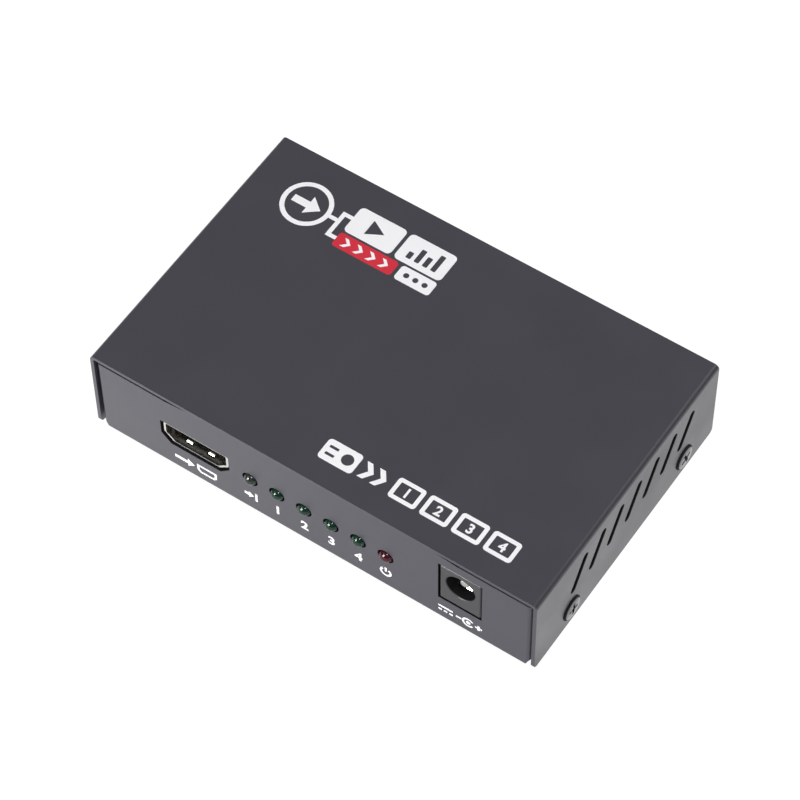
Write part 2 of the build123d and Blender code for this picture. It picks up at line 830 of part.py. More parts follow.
def can_capacitors():
    """Round cans on square bases with two cut corners."""
    base = extrude(Rectangle(can_base_w, can_base_w), amount=can_base_t)
    base = chamfer(base.edges().filter_by(Axis.Z).group_by(Axis.Y)[-1], can_cut)
    can = post(0, 0, can_base_t, can_d, can_h)
    can = fillet(can.edges().group_by(Axis.Z)[-1], can_groove)
    ring = post(0, 0, can_base_t + can_groove_h, can_d + overrun, can_groove)
    can = can - (ring - post(0, 0, can_base_t, can_d - 2 * can_groove, can_h))
    score = Pos(0, 0, can_base_t + can_h) * Box(can_d * cos(radians(45)), can_score_w, 2 * can_score_depth)
    can = can - [score, Rot(0, 0, 90) * score]
    places = [share_place(share) for share in can_place_shares]
    return {"capacitor_cans": [on_board(can, x, y) for x, y in places],
            "capacitor_bases": [on_board(base, x, y) for x, y in places]}


def power_parts():
    """Coil, fuse, diode and crystal."""
    coil = extrude(Rectangle(coil_w, coil_w), amount=coil_h)
    coil = chamfer(coil.edges().filter_by(Axis.Z), coil_corner)
    x, y = share_place(coil_place_share)
    pads = [block(side * coil_w / 2 - (side < 0) * coil_pad, side * coil_w / 2 + (side > 0) * coil_pad,
                  -coil_w / 4, coil_w / 4, 0, coil_pad) for side in (-1, 1)]
    fuse, fuse_ends = end_capped(fuse_length, fuse_w, fuse_h)
    fuse_x, fuse_y = share_place(fuse_place_share)
    diode, diode_ends = end_capped(diode_length, diode_w, diode_h)
    diode_x, diode_y = share_place(diode_place_share)
    can = extrude(SlotOverall(crystal_length, crystal_w), amount=crystal_h)
    can = fillet(can.edges().group_by(Axis.Z)[-1], crystal_rim)
    can = can + extrude(SlotOverall(crystal_length + 2 * crystal_rim, crystal_w + 2 * crystal_rim),
                        amount=crystal_rim_t)
    crystal_x, crystal_y = share_place(crystal_place_share)
    ends = [on_board(pad, x, y) for pad in pads]
    ends += [on_board(end, fuse_x, fuse_y, 90) for end in fuse_ends]
    ends += [on_board(end, diode_x, diode_y) for end in diode_ends]
    return {"power_coil": [on_board(coil, x, y)],
            "input_fuse": [on_board(fuse, fuse_x, fuse_y, 90)],
            "input_diode": [on_board(diode, diode_x, diode_y)],
            "crystal": [on_board(can, crystal_x, crystal_y, 90)],
            "power_part_ends": ends}


def port_guards():
    """Surge guard chip behind each socket's tails."""
    body = block(-guard_length / 2, guard_length / 2, -guard_w / 2, guard_w / 2, 0, guard_h)
    behind = shell_length + skirt_t + guard_back
    places = [(input_x, input_y + behind)] + [(x, output_y - behind) for x in output_places()]
    made = []
    for x, y in places:
        for side in (-1, 1):
            made.append(on_board(body, x + side * guard_length, y))
    return {"port_guards": made}


def small_parts():
    """Rows of chip capacitors and chip resistors."""
    made = {"chip_capacitors": [], "chip_resistors": [], "chip_part_ends": []}
    rows = (("chip_capacitors", capacitor_column_shares, capacitor_row_shares, mlcc_h),
            ("chip_resistors", resistor_column_shares, resistor_row_shares, resistor_h))
    for name, columns, lines, height in rows:
        body, ends = end_capped(mlcc_length, mlcc_w, height)
        for share_x in columns:
            for share_y in lines:
                x, y = share_place((share_x, share_y))
                made[name].append(on_board(body, x, y, 90))
                made["chip_part_ends"] += [on_board(end, x, y, 90) for end in ends]
    return made


# Every node of the object
def all_nodes():
    """Node name to its list of solids."""
    nodes = {"top_cover": [top_cover()], "chassis": [chassis()], "cover_screws": cover_screws(),
             "rubber_feet": rubber_feet(), "standoffs": standoffs(), "board_screws": board_screws(),
             "circuit_board": [circuit_board()]}
    pieces = {"shell": [socket_shell()], "insulator": [socket_insulator()], "contacts": socket_contacts()}
    places = {"input": Pos(input_x, input_y, board_top)}
    for index, x in enumerate(output_places()):
        places[f"output_{index + 1}"] = Pos(x, output_y, board_top) * Rot(0, 0, 180)
    for port, place in places.items():
        for name, solids in pieces.items():
            nodes[f"{port}_{name}"] = [place * solid for solid in solids]
    names = ["led_input", "led_1", "led_2", "led_3", "led_4", "led_power"]
    lens = led_lens()
    nodes["led_leads"] = []
    for index, name in enumerate(names):
        nodes[name] = [Pos(led_first_x + index * led_pitch, led_tip_y, led_z) * lens]
        nodes["led_leads"] += [led_lead(x, y) for x, y in led_lead_places(index)]
    jack = Pos(jack_x, jack_y, board_top)
    nodes["dc_jack_body"] = [jack * jack_body()]
    nodes["dc_jack_pin"] = [jack * jack_pin()]
    nodes["dc_jack_leaf"] = [jack * jack_leaf()]
    nodes["dc_jack_sleeve_tab"] = [jack * jack_sleeve_tab()]
    nodes["dc_jack_switch_tab"] = [jack * jack_switch_tab()]
    for group in (splitter_chip(), memory_chips(), regulators(), can_capacitors(), power_parts(),
                  port_guards(), small_parts()):
        nodes.update(group)
    return nodes


os.makedirs("parts", exist_ok=True)
for node, solids in all_nodes().items():
    shape = solids[0] if len(solids) == 1 else Compound(children=solids)
    export_step(shape, f"parts/{node}.step")
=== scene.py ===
# %% [markdown]
# # A four-way video splitter
#
# The object is a small folded steel box. One video signal goes in at the front, and four copies of
# it come out at the back. The solids were made elsewhere and stand still here. Blender dresses them:
# it gives every solid a finish, remodels the pieces that need finer shapes, and adds the prints.
#
# The first cell loads the solids. Everything is in metres, so a millimetre gets a name of its own.

# %% Load the solids
import bmesh
import bpy
import json
import math
from mathutils import Matrix, Vector


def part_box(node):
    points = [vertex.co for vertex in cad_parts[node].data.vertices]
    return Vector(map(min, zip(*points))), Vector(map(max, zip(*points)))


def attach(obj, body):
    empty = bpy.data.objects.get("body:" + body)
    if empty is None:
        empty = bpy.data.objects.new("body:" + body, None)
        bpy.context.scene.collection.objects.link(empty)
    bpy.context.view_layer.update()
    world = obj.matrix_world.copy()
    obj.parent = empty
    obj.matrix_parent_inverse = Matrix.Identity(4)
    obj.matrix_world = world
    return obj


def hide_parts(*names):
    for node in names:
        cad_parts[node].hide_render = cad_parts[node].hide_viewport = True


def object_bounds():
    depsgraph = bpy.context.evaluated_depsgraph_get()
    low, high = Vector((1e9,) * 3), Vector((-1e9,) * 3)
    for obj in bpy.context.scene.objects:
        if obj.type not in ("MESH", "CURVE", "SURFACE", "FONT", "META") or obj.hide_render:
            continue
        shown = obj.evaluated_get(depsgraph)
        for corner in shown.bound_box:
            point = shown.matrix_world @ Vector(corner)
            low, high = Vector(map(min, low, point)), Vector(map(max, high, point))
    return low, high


MM = 0.001
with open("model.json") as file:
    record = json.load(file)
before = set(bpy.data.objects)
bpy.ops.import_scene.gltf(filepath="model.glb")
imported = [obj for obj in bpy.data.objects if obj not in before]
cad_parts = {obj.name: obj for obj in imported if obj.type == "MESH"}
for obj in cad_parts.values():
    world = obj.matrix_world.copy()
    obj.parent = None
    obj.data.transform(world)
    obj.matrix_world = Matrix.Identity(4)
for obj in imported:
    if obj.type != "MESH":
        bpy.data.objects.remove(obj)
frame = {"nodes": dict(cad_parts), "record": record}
nodes = frame["nodes"]
scene = bpy.context.scene
scene.view_settings.view_transform = "Standard"
bpy.context.view_layer.update()
solid_low, solid_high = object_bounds()
print("solids:", len(nodes))
print("from", [round(v / MM, 2) for v in solid_low], "to", [round(v / MM, 2) for v in solid_high])

# %% [markdown]
# ## Camera
#
# A product photograph like this is taken with a long lens from well above. The camera's place and
# turn were worked out from the box's straight edges, so the edges here fall on those edges. A camera
# looks along its own -Z, so its matrix is built from three directions: right, up and back.

# %% Camera at the photograph's angle
CAMERA_PLACE = Vector((208.48, -304.59, 551.04)) * MM
CAMERA_AZIMUTH = math.radians(34.522)
CAMERA_ELEVATION = math.radians(55.651)
CAMERA_ROLL = math.radians(-0.757)
SENSOR_WIDTH = 36.0
FOCAL_LENGTH = 154.125

ahead = Vector((-math.sin(CAMERA_AZIMUTH) * math.cos(CAMERA_ELEVATION),
                math.cos(CAMERA_AZIMUTH) * math.cos(CAMERA_ELEVATION), -math.sin(CAMERA_ELEVATION)))
level_right = ahead.cross(Vector((0, 0, 1))).normalized()
turn = Matrix((level_right, level_right.cross(ahead), -ahead)).transposed().to_4x4()
camera = bpy.data.objects.new("photo_camera", bpy.data.cameras.new("photo_camera"))
scene.collection.objects.link(camera)
camera.matrix_world = Matrix.Translation(CAMERA_PLACE) @ turn @ Matrix.Rotation(CAMERA_ROLL, 4, "Z")
camera.data.sensor_width = SENSOR_WIDTH
camera.data.lens = FOCAL_LENGTH
camera.data.clip_start = 10 * MM
scene.camera = camera
print("camera", [round(v / MM, 1) for v in camera.location], "mm, lens", FOCAL_LENGTH)

# %% [markdown]
# ## Node helpers
#
# A finish is a small network of nodes. A few helpers keep the networks short to read. The main one
# adds a node and fills its inputs, where an input may be a value or another node's output. The others
# do sums, turn one range of values into another, add noise and bumps, and start and end a material.


# %% Helpers that add nodes
def add(tree, kind, settings=None, **inputs):
    """Add a node, set its own settings, and fill its inputs with values or links."""
    node = tree.nodes.new(kind)
    for key, value in (settings or {}).items():
        setattr(node, key, value)
    for key, value in inputs.items():
        name = key.replace("_", " ")
        socket = node.inputs[int(name[5:])] if name.startswith("input") else node.inputs[name]
        if isinstance(value, bpy.types.NodeSocket):
            tree.links.new(value, socket)
        else:
            socket.default_value = value
    return node


def maths(tree, operation, first, second):
    """Output of one sum on two values."""
    return add(tree, "ShaderNodeMath", {"operation": operation}, input0=first, input1=second).outputs[0]


def ranged(tree, value, from_low, from_high, to_low=0.0, to_high=1.0, smooth=False):
    """Output that takes a value from one range to another."""
    settings = {"interpolation_type": "SMOOTHSTEP"} if smooth else {}
    return add(tree, "ShaderNodeMapRange", settings, Value=value, From_Min=from_low, From_Max=from_high,
               To_Min=to_low, To_Max=to_high).outputs[0]


def noise(tree, place, size, detail):
    """Output of a noise whose features have about a given size in millimetres."""
    return add(tree, "ShaderNodeTexNoise", Vector=place, Scale=1 / (size * MM), Detail=detail).outputs[0]


def bumped(tree, height, rise):
    """Normal that follows a height, which rises by a given number of millimetres."""
    return add(tree, "ShaderNodeBump", Height=height, Strength=1.0, Distance=rise * MM).outputs[0]


def new_material(name):
    """Empty material and its tree."""
    material = bpy.data.materials.new(name)
    material.use_nodes = True
    material.node_tree.nodes.clear()
    return material, material.node_tree


def show(tree, shader):
    """Link a shader to the material's output."""
    output = add(tree, "ShaderNodeOutputMaterial")
    tree.links.new(shader, output.inputs["Surface"])


print("node helpers ready")

# %% [markdown]
# ## Floor, world and lamps
#
# The box stands on white paper in a dim studio. The paper is lit as plain paper, and rays from the
# camera, and rays that gloss or glass throws, see most of it as pure white. So the picture's ground
# is white while the box is lit at a plain level, and the box still has its soft shadow. The paper
# is mirrored in the box's upright faces. In front of the jack it is a little in shade, so the panel
# grows darker from left to right.

# %% White paper floor
WHITE = (1, 1, 1, 1)
FLOOR_HALF = 3.0
FLOOR_DROP = 0.01 * MM
FLOOR_COLOUR = (0.86, 0.86, 0.86, 1)
FLOOR_GLOW = 0.86
FLOOR_SEEN = 1.06
FLOOR_MIRRORED = 1.12
SHADED_SHARE = 0.56
SHADE_LEFT, SHADE_RIGHT = -70 * MM, 50 * MM
SHADE_BACK, SHADE_FRONT = -25 * MM, -32 * MM


def seen_ray(tree):
    """1 for rays from the camera, from gloss and through glass, and 0 for the rays that light things."""
    path = add(tree, "ShaderNodeLightPath")
    mirrored = maths(tree, "ADD", path.outputs["Is Camera Ray"], path.outputs["Is Glossy Ray"])
    total = maths(tree, "ADD", mirrored, path.outputs["Is Transmission Ray"])
    return add(tree, "ShaderNodeClamp", Value=total).outputs[0]


paper, tree = new_material("paper")
lit = add(tree, "ShaderNodeBsdfDiffuse", Color=FLOOR_COLOUR)
place = add(tree, "ShaderNodeSeparateXYZ", Vector=add(tree, "ShaderNodeTexCoord").outputs["Object"])
rightward = ranged(tree, place.outputs["X"], SHADE_LEFT, SHADE_RIGHT, 0.0, SHADED_SHARE, smooth=True)
in_front = ranged(tree, place.outputs["Y"], SHADE_BACK, SHADE_FRONT)
mirrored = maths(tree, "SUBTRACT", FLOOR_MIRRORED, maths(tree, "MULTIPLY", rightward, in_front))
camera_ray = add(tree, "ShaderNodeLightPath").outputs["Is Camera Ray"]
brightness = maths(tree, "MAXIMUM", mirrored, maths(tree, "MULTIPLY", camera_ray, FLOOR_SEEN))
glow = add(tree, "ShaderNodeEmission", Color=WHITE, Strength=brightness)
share = maths(tree, "MULTIPLY", seen_ray(tree), FLOOR_GLOW)
mix = add(tree, "ShaderNodeMixShader", input0=share, input1=lit.outputs[0], input2=glow.outputs[0])
show(tree, mix.outputs[0])

shape = bmesh.new()
bmesh.ops.create_grid(shape, x_segments=1, y_segments=1, size=FLOOR_HALF)
bmesh.ops.translate(shape, verts=shape.verts, vec=(0, 0, -FLOOR_DROP))
floor_mesh = bpy.data.meshes.new("paper_floor")
shape.to_mesh(floor_mesh)
shape.free()
floor_mesh.materials.append(paper)
floor = bpy.data.objects.new("paper_floor", floor_mesh)
scene.collection.objects.link(floor)
print("floor ready, half width", FLOOR_HALF, "m")

# %% [markdown]
# The dim room is mirrored in the box's top, so the top looks darker than the upright faces. Where the
# sheet is bent, it mirrors the low walls of the room, and these are darkest of all. A direction's
# height runs from 0 at the horizon to 1 straight above.

# %% Dim room
ROOM_LIGHT = 0.40
WALL_SEEN = 0.10
ROOF_SEEN = 0.25
WALL_TOP = 0.15
ROOF_START = 0.62

world = bpy.data.worlds.new("dim_studio")
world.use_nodes = True
tree = world.node_tree
tree.nodes.clear()
direction = add(tree, "ShaderNodeTexCoord").outputs["Generated"]
height = add(tree, "ShaderNodeSeparateXYZ", Vector=direction).outputs["Z"]
level = ranged(tree, height, WALL_TOP, ROOF_START, WALL_SEEN, ROOF_SEEN, smooth=True)
level = maths(tree, "MAXIMUM", level, add(tree, "ShaderNodeLightPath").outputs["Is Camera Ray"])
seen = add(tree, "ShaderNodeBackground", Color=WHITE, Strength=level)
light = add(tree, "ShaderNodeBackground", Color=WHITE, Strength=ROOM_LIGHT)
mix = add(tree, "ShaderNodeMixShader", input0=seen_ray(tree), input1=light.outputs[0],
          input2=seen.outputs[0])
output = add(tree, "ShaderNodeOutputWorld")
tree.links.new(mix.outputs[0], output.inputs["Surface"])
scene.world = world
print("world:", world.name)

# %% [markdown]
# Lamps in Blender are given in watts. A wide lamp at one metre lights a face that looks at it as
# plain white light does at about ten watts, so these together with the room come to that. The tall
# lamp stands low at the front left. It is the brightest, and so it is what the lenses of the panel,
# the pin of the jack and the rounded edges of the sheet show as their highlights. Each row below has a
# lamp's place, its width and height in metres, and its watts.


# %% Lamps
LAMPS = {
    "front_left_lamp": ((-0.55, -0.80, 0.75), (0.45, 0.45), 0.9),
    "camera_side_lamp": ((0.42, -0.52, 1.00), (0.30, 0.30), 3.15),
    "back_lamp": ((0.30, 0.90, 0.80), (0.60, 0.60), 3.2),
    "tall_front_lamp": ((-0.31, -0.80, 0.30), (0.32, 0.48), 7.6),
}


def lamp(name, place, size, power):
    """Rectangular area lamp that looks at the box."""
    light = bpy.data.lights.new(name, "AREA")
    light.shape = "RECTANGLE"
    light.size, light.size_y = size
    light.energy = power
    made = bpy.data.objects.new(name, light)
    made.location = place
    made.rotation_euler = (-Vector(place)).to_track_quat("-Z", "Y").to_euler()
    scene.collection.objects.link(made)


for name, (place, size, power) in LAMPS.items():
    lamp(name, place, size, power)
print("lamps:", ", ".join(LAMPS))

# %% [markdown]
# ## Finishes
#
# No real surface is one flat colour. Each finish here has a slow mottling in its colour, a fine grain
# in its height, and a roughness that follows the mottling. Mottling and grain are noise, read in the
# object's own coordinates, so they have one real size on every piece. One function makes the plain
# finishes: paint, mouldings, metals and rubber differ only in their numbers.


# %% A function for plain finishes
NOISE_LOW, NOISE_HIGH = 0.3, 0.7


def mottled(tree, share, colour, change):
    """Output that goes from a little darker to a little lighter than a colour.

    The mix node has sockets for numbers and for vectors too: 6, 7 and 2 are those for colours.
    """
    dark = [channel * (1 - change) for channel in colour]
    light = [min(1.0, channel * (1 + change)) for channel in colour]
    return add(tree, "ShaderNodeMix", {"data_type": "RGBA"}, Factor=share, input6=(*dark, 1),
               input7=(*light, 1)).outputs[2]


def finish(name, colour, roughness, metallic=0.0, grain_size=0.3, grain_height=0.002, mottle_size=9.0,
           mottle=0.12, rough_change=0.08, stretch=(1, 1, 1), **sockets):
    """Finish with grain and mottling. Sizes are in millimetres, and sockets are the shader's own."""
    material, tree = new_material(name)
    place = add(tree, "ShaderNodeTexCoord").outputs["Object"]
    place = add(tree, "ShaderNodeMapping", Vector=place, Scale=stretch).outputs[0]
    fine = noise(tree, place, grain_size, 3.0)
    slow = noise(tree, place, mottle_size, 4.0)
    tint = mottled(tree, slow, colour, mottle)
    worn = ranged(tree, slow, NOISE_LOW, NOISE_HIGH, roughness - rough_change, roughness + rough_change)
    body = add(tree, "ShaderNodeBsdfPrincipled", Base_Color=tint, Metallic=metallic, Roughness=worn,
               Normal=bumped(tree, fine, grain_height), **sockets)
    show(tree, body.outputs[0])
    return material


print("finish function ready")

# %% [markdown]
# The colours are those of the real materials in plain light, but for the last two. The paint is a satin
# dark grey with a hint of violet. Bright nickel is nearly mirror-like with a warm tint, zinc and tin are
# duller, and gold flash is thin, so it is pale. Mouldings are black with a fine spark-eroded grain. The
# last two blacks are painted shade, the colour of no material: one darkens faces in deep shade, such as
# cut edges inside narrow slots, and the other darkens the inside of the jack.

# %% Plain finishes of every slot
finishes = {
    "case_paint": finish("case_paint", (0.049, 0.048, 0.061), 0.33, grain_size=0.22, grain_height=0.0026,
                         mottle_size=14, mottle=0.07, rough_change=0.05, Specular_IOR_Level=0.62),
    "black_screw": finish("black_screw", (0.13, 0.13, 0.14), 0.17, metallic=1.0, grain_size=0.2, mottle=0.2,
                          rough_change=0.06),
    "foot_rubber": finish("foot_rubber", (0.021, 0.021, 0.022), 0.82, grain_size=0.12, grain_height=0.012),
    "plain_steel": finish("plain_steel", (0.58, 0.59, 0.61), 0.30, metallic=1.0, stretch=(1, 0.15, 1)),
    "nickel_shell": finish("nickel_shell", (0.80, 0.78, 0.74), 0.17, metallic=1.0, grain_size=0.16,
                           grain_height=0.0012, mottle=0.05, rough_change=0.05),
    "black_moulding": finish("black_moulding", (0.018, 0.018, 0.019), 0.45, grain_size=0.14,
                             grain_height=0.004),
    "gold_contact": finish("gold_contact", (0.86, 0.62, 0.28), 0.24, metallic=1.0, grain_height=0.001),
    "tinned_lead": finish("tinned_lead", (0.70, 0.70, 0.69), 0.34, metallic=1.0, grain_size=0.1),
    "jack_moulding": finish("jack_moulding", (0.044, 0.044, 0.047), 0.42, grain_size=0.18,
                            grain_height=0.004, mottle_size=5),
    "nickel_contact": finish("nickel_contact", (0.84, 0.82, 0.79), 0.26, metallic=1.0, grain_size=0.12,
                             grain_height=0.001, mottle=0.04),
    "chip_black": finish("chip_black", (0.020, 0.020, 0.022), 0.55, grain_size=0.09, grain_height=0.006),
    "pad_grey": finish("pad_grey", (0.35, 0.37, 0.40), 0.75, grain_size=0.2, grain_height=0.01),
    "black_aluminium": finish("black_aluminium", (0.035, 0.035, 0.038), 0.38, metallic=1.0,
                              stretch=(1, 0.1, 1)),
    "plain_aluminium": finish("plain_aluminium", (0.78, 0.78, 0.79), 0.28, metallic=1.0),
    "coil_grey": finish("coil_grey", (0.11, 0.11, 0.11), 0.62, grain_size=0.1, grain_height=0.008),
    "fuse_green": finish("fuse_green", (0.05, 0.20, 0.09), 0.40),
    "mlcc_tan": finish("mlcc_tan", (0.42, 0.30, 0.18), 0.45, mottle_size=0.8),
    "resistor_black": finish("resistor_black", (0.030, 0.030, 0.032), 0.30, mottle_size=0.8),
}
# Painted shade: a near-black for faces in deep shade, darker than any material of the box.
painted_shade_black = finish("painted_shade_black", (0.006, 0.006, 0.007), 0.65, grain_size=0.2, grain_height=0.004,
                    Specular_IOR_Level=0.15)
# Painted shade: a near-black for the inside of the jack's bore.
painted_bore_shade = finish("painted_bore_shade", (0.007, 0.007, 0.008), 0.55, grain_size=0.15, grain_height=0.003,
                    Specular_IOR_Level=0.2)
print("plain finishes:", len(finishes))

# %% [markdown]
# The lamps' lenses are tinted clear resin. Light passes through them, so they show the dark box
# behind them and a bright rim where they bend the light of the floor. The tint is on the shader's
# colour, and a faint change of tone runs through it. The green differs from lamp to lamp by nothing
# but what is behind it, so three tints are enough.


# %% Tinted resin of the lamps
RESIN_IOR = 1.58
RESIN_ROUGHNESS = 0.05
RESIN_CLEARNESS = 0.86
CLOUD_SIZE = 1.4
CLOUD_CHANGE = 0.15


def resin(name, colour):
    """Clear tinted resin."""
    material, tree = new_material(name)
    place = add(tree, "ShaderNodeTexCoord").outputs["Object"]
    tint = mottled(tree, noise(tree, place, CLOUD_SIZE, 2.0), colour, CLOUD_CHANGE)
    body = add(tree, "ShaderNodeBsdfPrincipled", Base_Color=tint, Roughness=RESIN_ROUGHNESS,
               IOR=RESIN_IOR, Transmission_Weight=RESIN_CLEARNESS)
    show(tree, body.outputs[0])
    return material


finishes["led_smoke"] = resin("led_smoke", (0.10, 0.15, 0.13))
finishes["led_green"] = resin("led_green", (0.008, 0.15, 0.075))
finishes["led_red"] = resin("led_red", (0.28, 0.008, 0.045))
print("resins ready")

# %% [markdown]
# The board is green lacquer over copper. The tracks under the lacquer show as slightly lighter lines
# that stand a little proud. A brick pattern with thin joints gives a net of straight tracks.

# %% Lacquered board
TRACK_PITCH = 1.6
TRACK_LENGTH = 2.4 * TRACK_PITCH
TRACK_WIDTH = 0.16
TRACK_RISE = 0.02
LACQUER_DARK = (0.012, 0.115, 0.045, 1)
LACQUER_LIGHT = (0.014, 0.125, 0.050, 1)
LACQUERED_TRACK = (0.030, 0.200, 0.085, 1)

board_finish, tree = new_material("board_green")
place = add(tree, "ShaderNodeTexCoord").outputs["Object"]
tracks = add(tree, "ShaderNodeTexBrick", Vector=place, Scale=1 / MM, Brick_Width=TRACK_LENGTH,
             Row_Height=TRACK_PITCH, Mortar_Size=TRACK_WIDTH, Mortar_Smooth=0.2, Color1=LACQUER_DARK,
             Color2=LACQUER_LIGHT, Mortar=LACQUERED_TRACK)
body = add(tree, "ShaderNodeBsdfPrincipled", Base_Color=tracks.outputs[0], Roughness=0.28,
           Normal=bumped(tree, tracks.outputs[1], TRACK_RISE), Coat_Weight=0.4)
show(tree, body.outputs[0])
finishes["board_green"] = board_finish
print("board finish ready")

# %% [markdown]
# The prints are screen-printed ink: a thin, slightly uneven film. Fine noise gives it the small
# changes of height that a mesh screen leaves.

# %% Inks
inks = {
    "white_ink": finish("white_ink", (0.88, 0.88, 0.90), 0.48, grain_size=0.15, grain_height=0.003,
                        mottle=0.03),
    "red_ink": finish("red_ink", (0.62, 0.018, 0.040), 0.46, grain_size=0.15, grain_height=0.003,
                      mottle=0.05),
}
print("inks:", ", ".join(inks))

# %% [markdown]
# Every solid gets the finish of its slot in the record. The pieces that are remodelled further down
# hide their solids, and the others stay as they are.

# %% Give each solid its finish
slots = {part["node"]: part["material_slot"] for part in frame["record"]["subparts"]}
for node, solid in nodes.items():
    for material_slot in solid.material_slots:
        material_slot.material = finishes[slots[node]]
print("finished solids:", len(nodes))

# %% [markdown]
# ## Making pieces
#
# A new piece starts as a bmesh, which is a mesh that can be edited in code. Two helpers do what every
# piece needs at the end: it becomes an object at the origin, gets its finish and its body, and hides
# the solids that it stands for. Faces shade smoothly except across edges sharper than 35 degrees. A
# third helper picks the corners out of what a bmesh operator returns.

# %% Helpers that make pieces
CASE = "case"
SMOOTH_ANGLE = math.radians(35)


def make_object(name, shape, material):
    """Turn a bmesh into an object with a finish."""
    mesh = bpy.data.meshes.new(name)
    shape.to_mesh(mesh)
    shape.free()
    mesh.shade_smooth()
    mesh.set_sharp_from_angle(angle=SMOOTH_ANGLE)
    mesh.materials.append(material)
    made = bpy.data.objects.new(name, mesh)
    scene.collection.objects.link(made)
    return made


def stand_for(made, slot, *replaced):
    """Let a piece ride on the case and stand for the solids it replaces."""
    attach(made, CASE)
    if replaced:
        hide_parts(*replaced)
    print(made.name, "faces", len(made.data.polygons))
    return made


def verts_of(items):
    """The vertices among the parts of a bmesh."""
    return [item for item in items if isinstance(item, bmesh.types.BMVert)]


print("piece helpers ready")

# %% [markdown]
# ## Folded sheet
#
# The cover and the chassis are cut and folded from painted sheet. Their solids have sharp cut edges,
# and real edges are slightly round, because paint draws back from them. A thin bright line runs along
# each edge that is round, and that line is most of what makes a box look real. So a copy of the solid
# is merged, its flat faces are joined, and its sharp edges get a narrow bevel. Flat faces keep flat
# shading through weighted normals. The vent slots are punched from outside, which draws their outer
# rim in, so that rim gets a wider bevel first. The feet and the jack's housing are eased in the same
# way, without slots.

# %% Round the edges of a copy
MERGE = 0.001 * MM
FLAT_ANGLE = math.radians(0.1)
SHARP_ANGLE = math.radians(40)
ROUND = 0.5
EDGE_STEPS = 2
RIM_STEPS = 3
SLOT_LOW, SLOT_HIGH, SLOT_REACH = 10.0, 21.0, 30.0
NEAR = 0.01
COVER_EDGE = 0.16 * MM
SLOT_EDGE = 0.28 * MM
CHASSIS_EDGE = 0.09 * MM
FOOT_EDGE = 0.12 * MM
JACK_EDGE = 0.05 * MM
side_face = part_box("top_cover")[1].x / MM


def on_slot_rim(edge):
    """Whether an edge lies on the outer rim of a vent slot."""
    ends = [vert.co / MM for vert in edge.verts]
    outside = all(abs(end.x) > side_face - NEAR for end in ends)
    return outside and all(abs(end.y) < SLOT_REACH and SLOT_LOW < end.z < SLOT_HIGH for end in ends)


def sharp_edges(shape):
    """Edges whose two faces meet sharply."""
    return [edge for edge in shape.edges if edge.calc_face_angle(0) > SHARP_ANGLE]


def eased_copy(node, name, width, slot_width=0):
    """Merged copy of a solid with its sharp edges rounded."""
    shape = bmesh.new()
    shape.from_mesh(nodes[node].data)
    bmesh.ops.remove_doubles(shape, verts=shape.verts, dist=MERGE)
    bmesh.ops.dissolve_limit(shape, angle_limit=FLAT_ANGLE, verts=shape.verts, edges=shape.edges)
    if slot_width:
        rims = [edge for edge in sharp_edges(shape) if on_slot_rim(edge)]
        bmesh.ops.bevel(shape, geom=rims, offset=slot_width, offset_type="OFFSET", affect="EDGES",
                        segments=RIM_STEPS, profile=ROUND, material=-1, clamp_overlap=False)
        print("rim edges of vent slots:", len(rims))
    bmesh.ops.bevel(shape, geom=sharp_edges(shape), offset=width, offset_type="OFFSET", affect="EDGES",
                    segments=EDGE_STEPS, profile=ROUND, material=-1, clamp_overlap=True)
    made = make_object(name, shape, finishes[slots[node]])
    normals = made.modifiers.new("even_normals", "WEIGHTED_NORMAL")
    normals.keep_sharp = True
    return stand_for(made, slots[node], node)


cover = eased_copy("top_cover", "folded_cover", COVER_EDGE, slot_width=SLOT_EDGE)
tray = eased_copy("chassis", "folded_chassis", CHASSIS_EDGE)
eased_copy("rubber_feet", "stick_on_feet", FOOT_EDGE)
housing = eased_copy("dc_jack_body", "jack_housing", JACK_EDGE)

# %% [markdown]
# Faces in deep shade get painted shade: a near-black finish that darkens them further than the lamps do.
# A face belongs to them by where it is and which way it looks: the walls of the vent slots look along
# the side, the walls of a panel's openings look across the panel, a panel's top edge looks up into the
# gap under the cover, and in the jack's bore it is every face that doesn't look straight ahead. A face's
# normal has the length one, so its share along an axis says how nearly it looks that way. Lengths are in
# millimetres.

# %% Blacken what lies in deep shade
SHEET = 0.8
SIDE_DEPTH, PANEL_DEPTH = 1.5 * SHEET, 1.1 * SHEET
PANEL_LOW, PANEL_HIGH = 4.0, 21.0
PANEL_HALF = 47.0
BORE_RADIUS = 3.2
JACK_AXIS_RISE = 6.4
STRAIGHT_OUT = 0.95
STRAIGHT_AHEAD = 0.9
SLIGHTLY = 0.3


def paint_shade(made, finish, test):
    """Paint shade on the faces that pass a test, as a second, near-black finish."""
    made.data.materials.append(finish)
    picked = [face for face in made.data.polygons if test(face.center / MM, face.normal)]
    for face in picked:
        face.material_index = 1
    print(made.name, "black faces", len(picked))


side_start = solid_high.x / MM - SIDE_DEPTH
panel_start = -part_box("chassis")[0].y / MM - PANEL_DEPTH
jack_low, jack_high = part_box("dc_jack_body")
jack_x = (jack_low.x + jack_high.x) / 2 / MM
jack_z = jack_low.z / MM + JACK_AXIS_RISE


def in_vent_slot(place, normal):
    """Whether a face is a wall or a rim of a vent slot."""
    in_side = abs(place.x) > side_start and abs(place.y) < SLOT_REACH and SLOT_LOW < place.z < SLOT_HIGH
    return in_side and abs(normal.x) < STRAIGHT_OUT


def in_panel_gap(place, normal):
    """Whether a face is a wall of an opening in a panel, or the panel's top edge."""
    looks_up = normal.z >= SLIGHTLY
    if abs(place.y) < panel_start or (abs(place.x) > PANEL_HALF and not looks_up):
        return False
    in_opening = abs(normal.y) < SLIGHTLY and PANEL_LOW < place.z < PANEL_HIGH
    return in_opening or (looks_up and place.z > PANEL_HIGH)


def in_jack_bore(place, normal):
    """Whether a face is inside the jack's bore."""
    in_bore = math.hypot(place.x - jack_x, place.z - jack_z) < BORE_RADIUS
    return in_bore and normal.y > -STRAIGHT_AHEAD
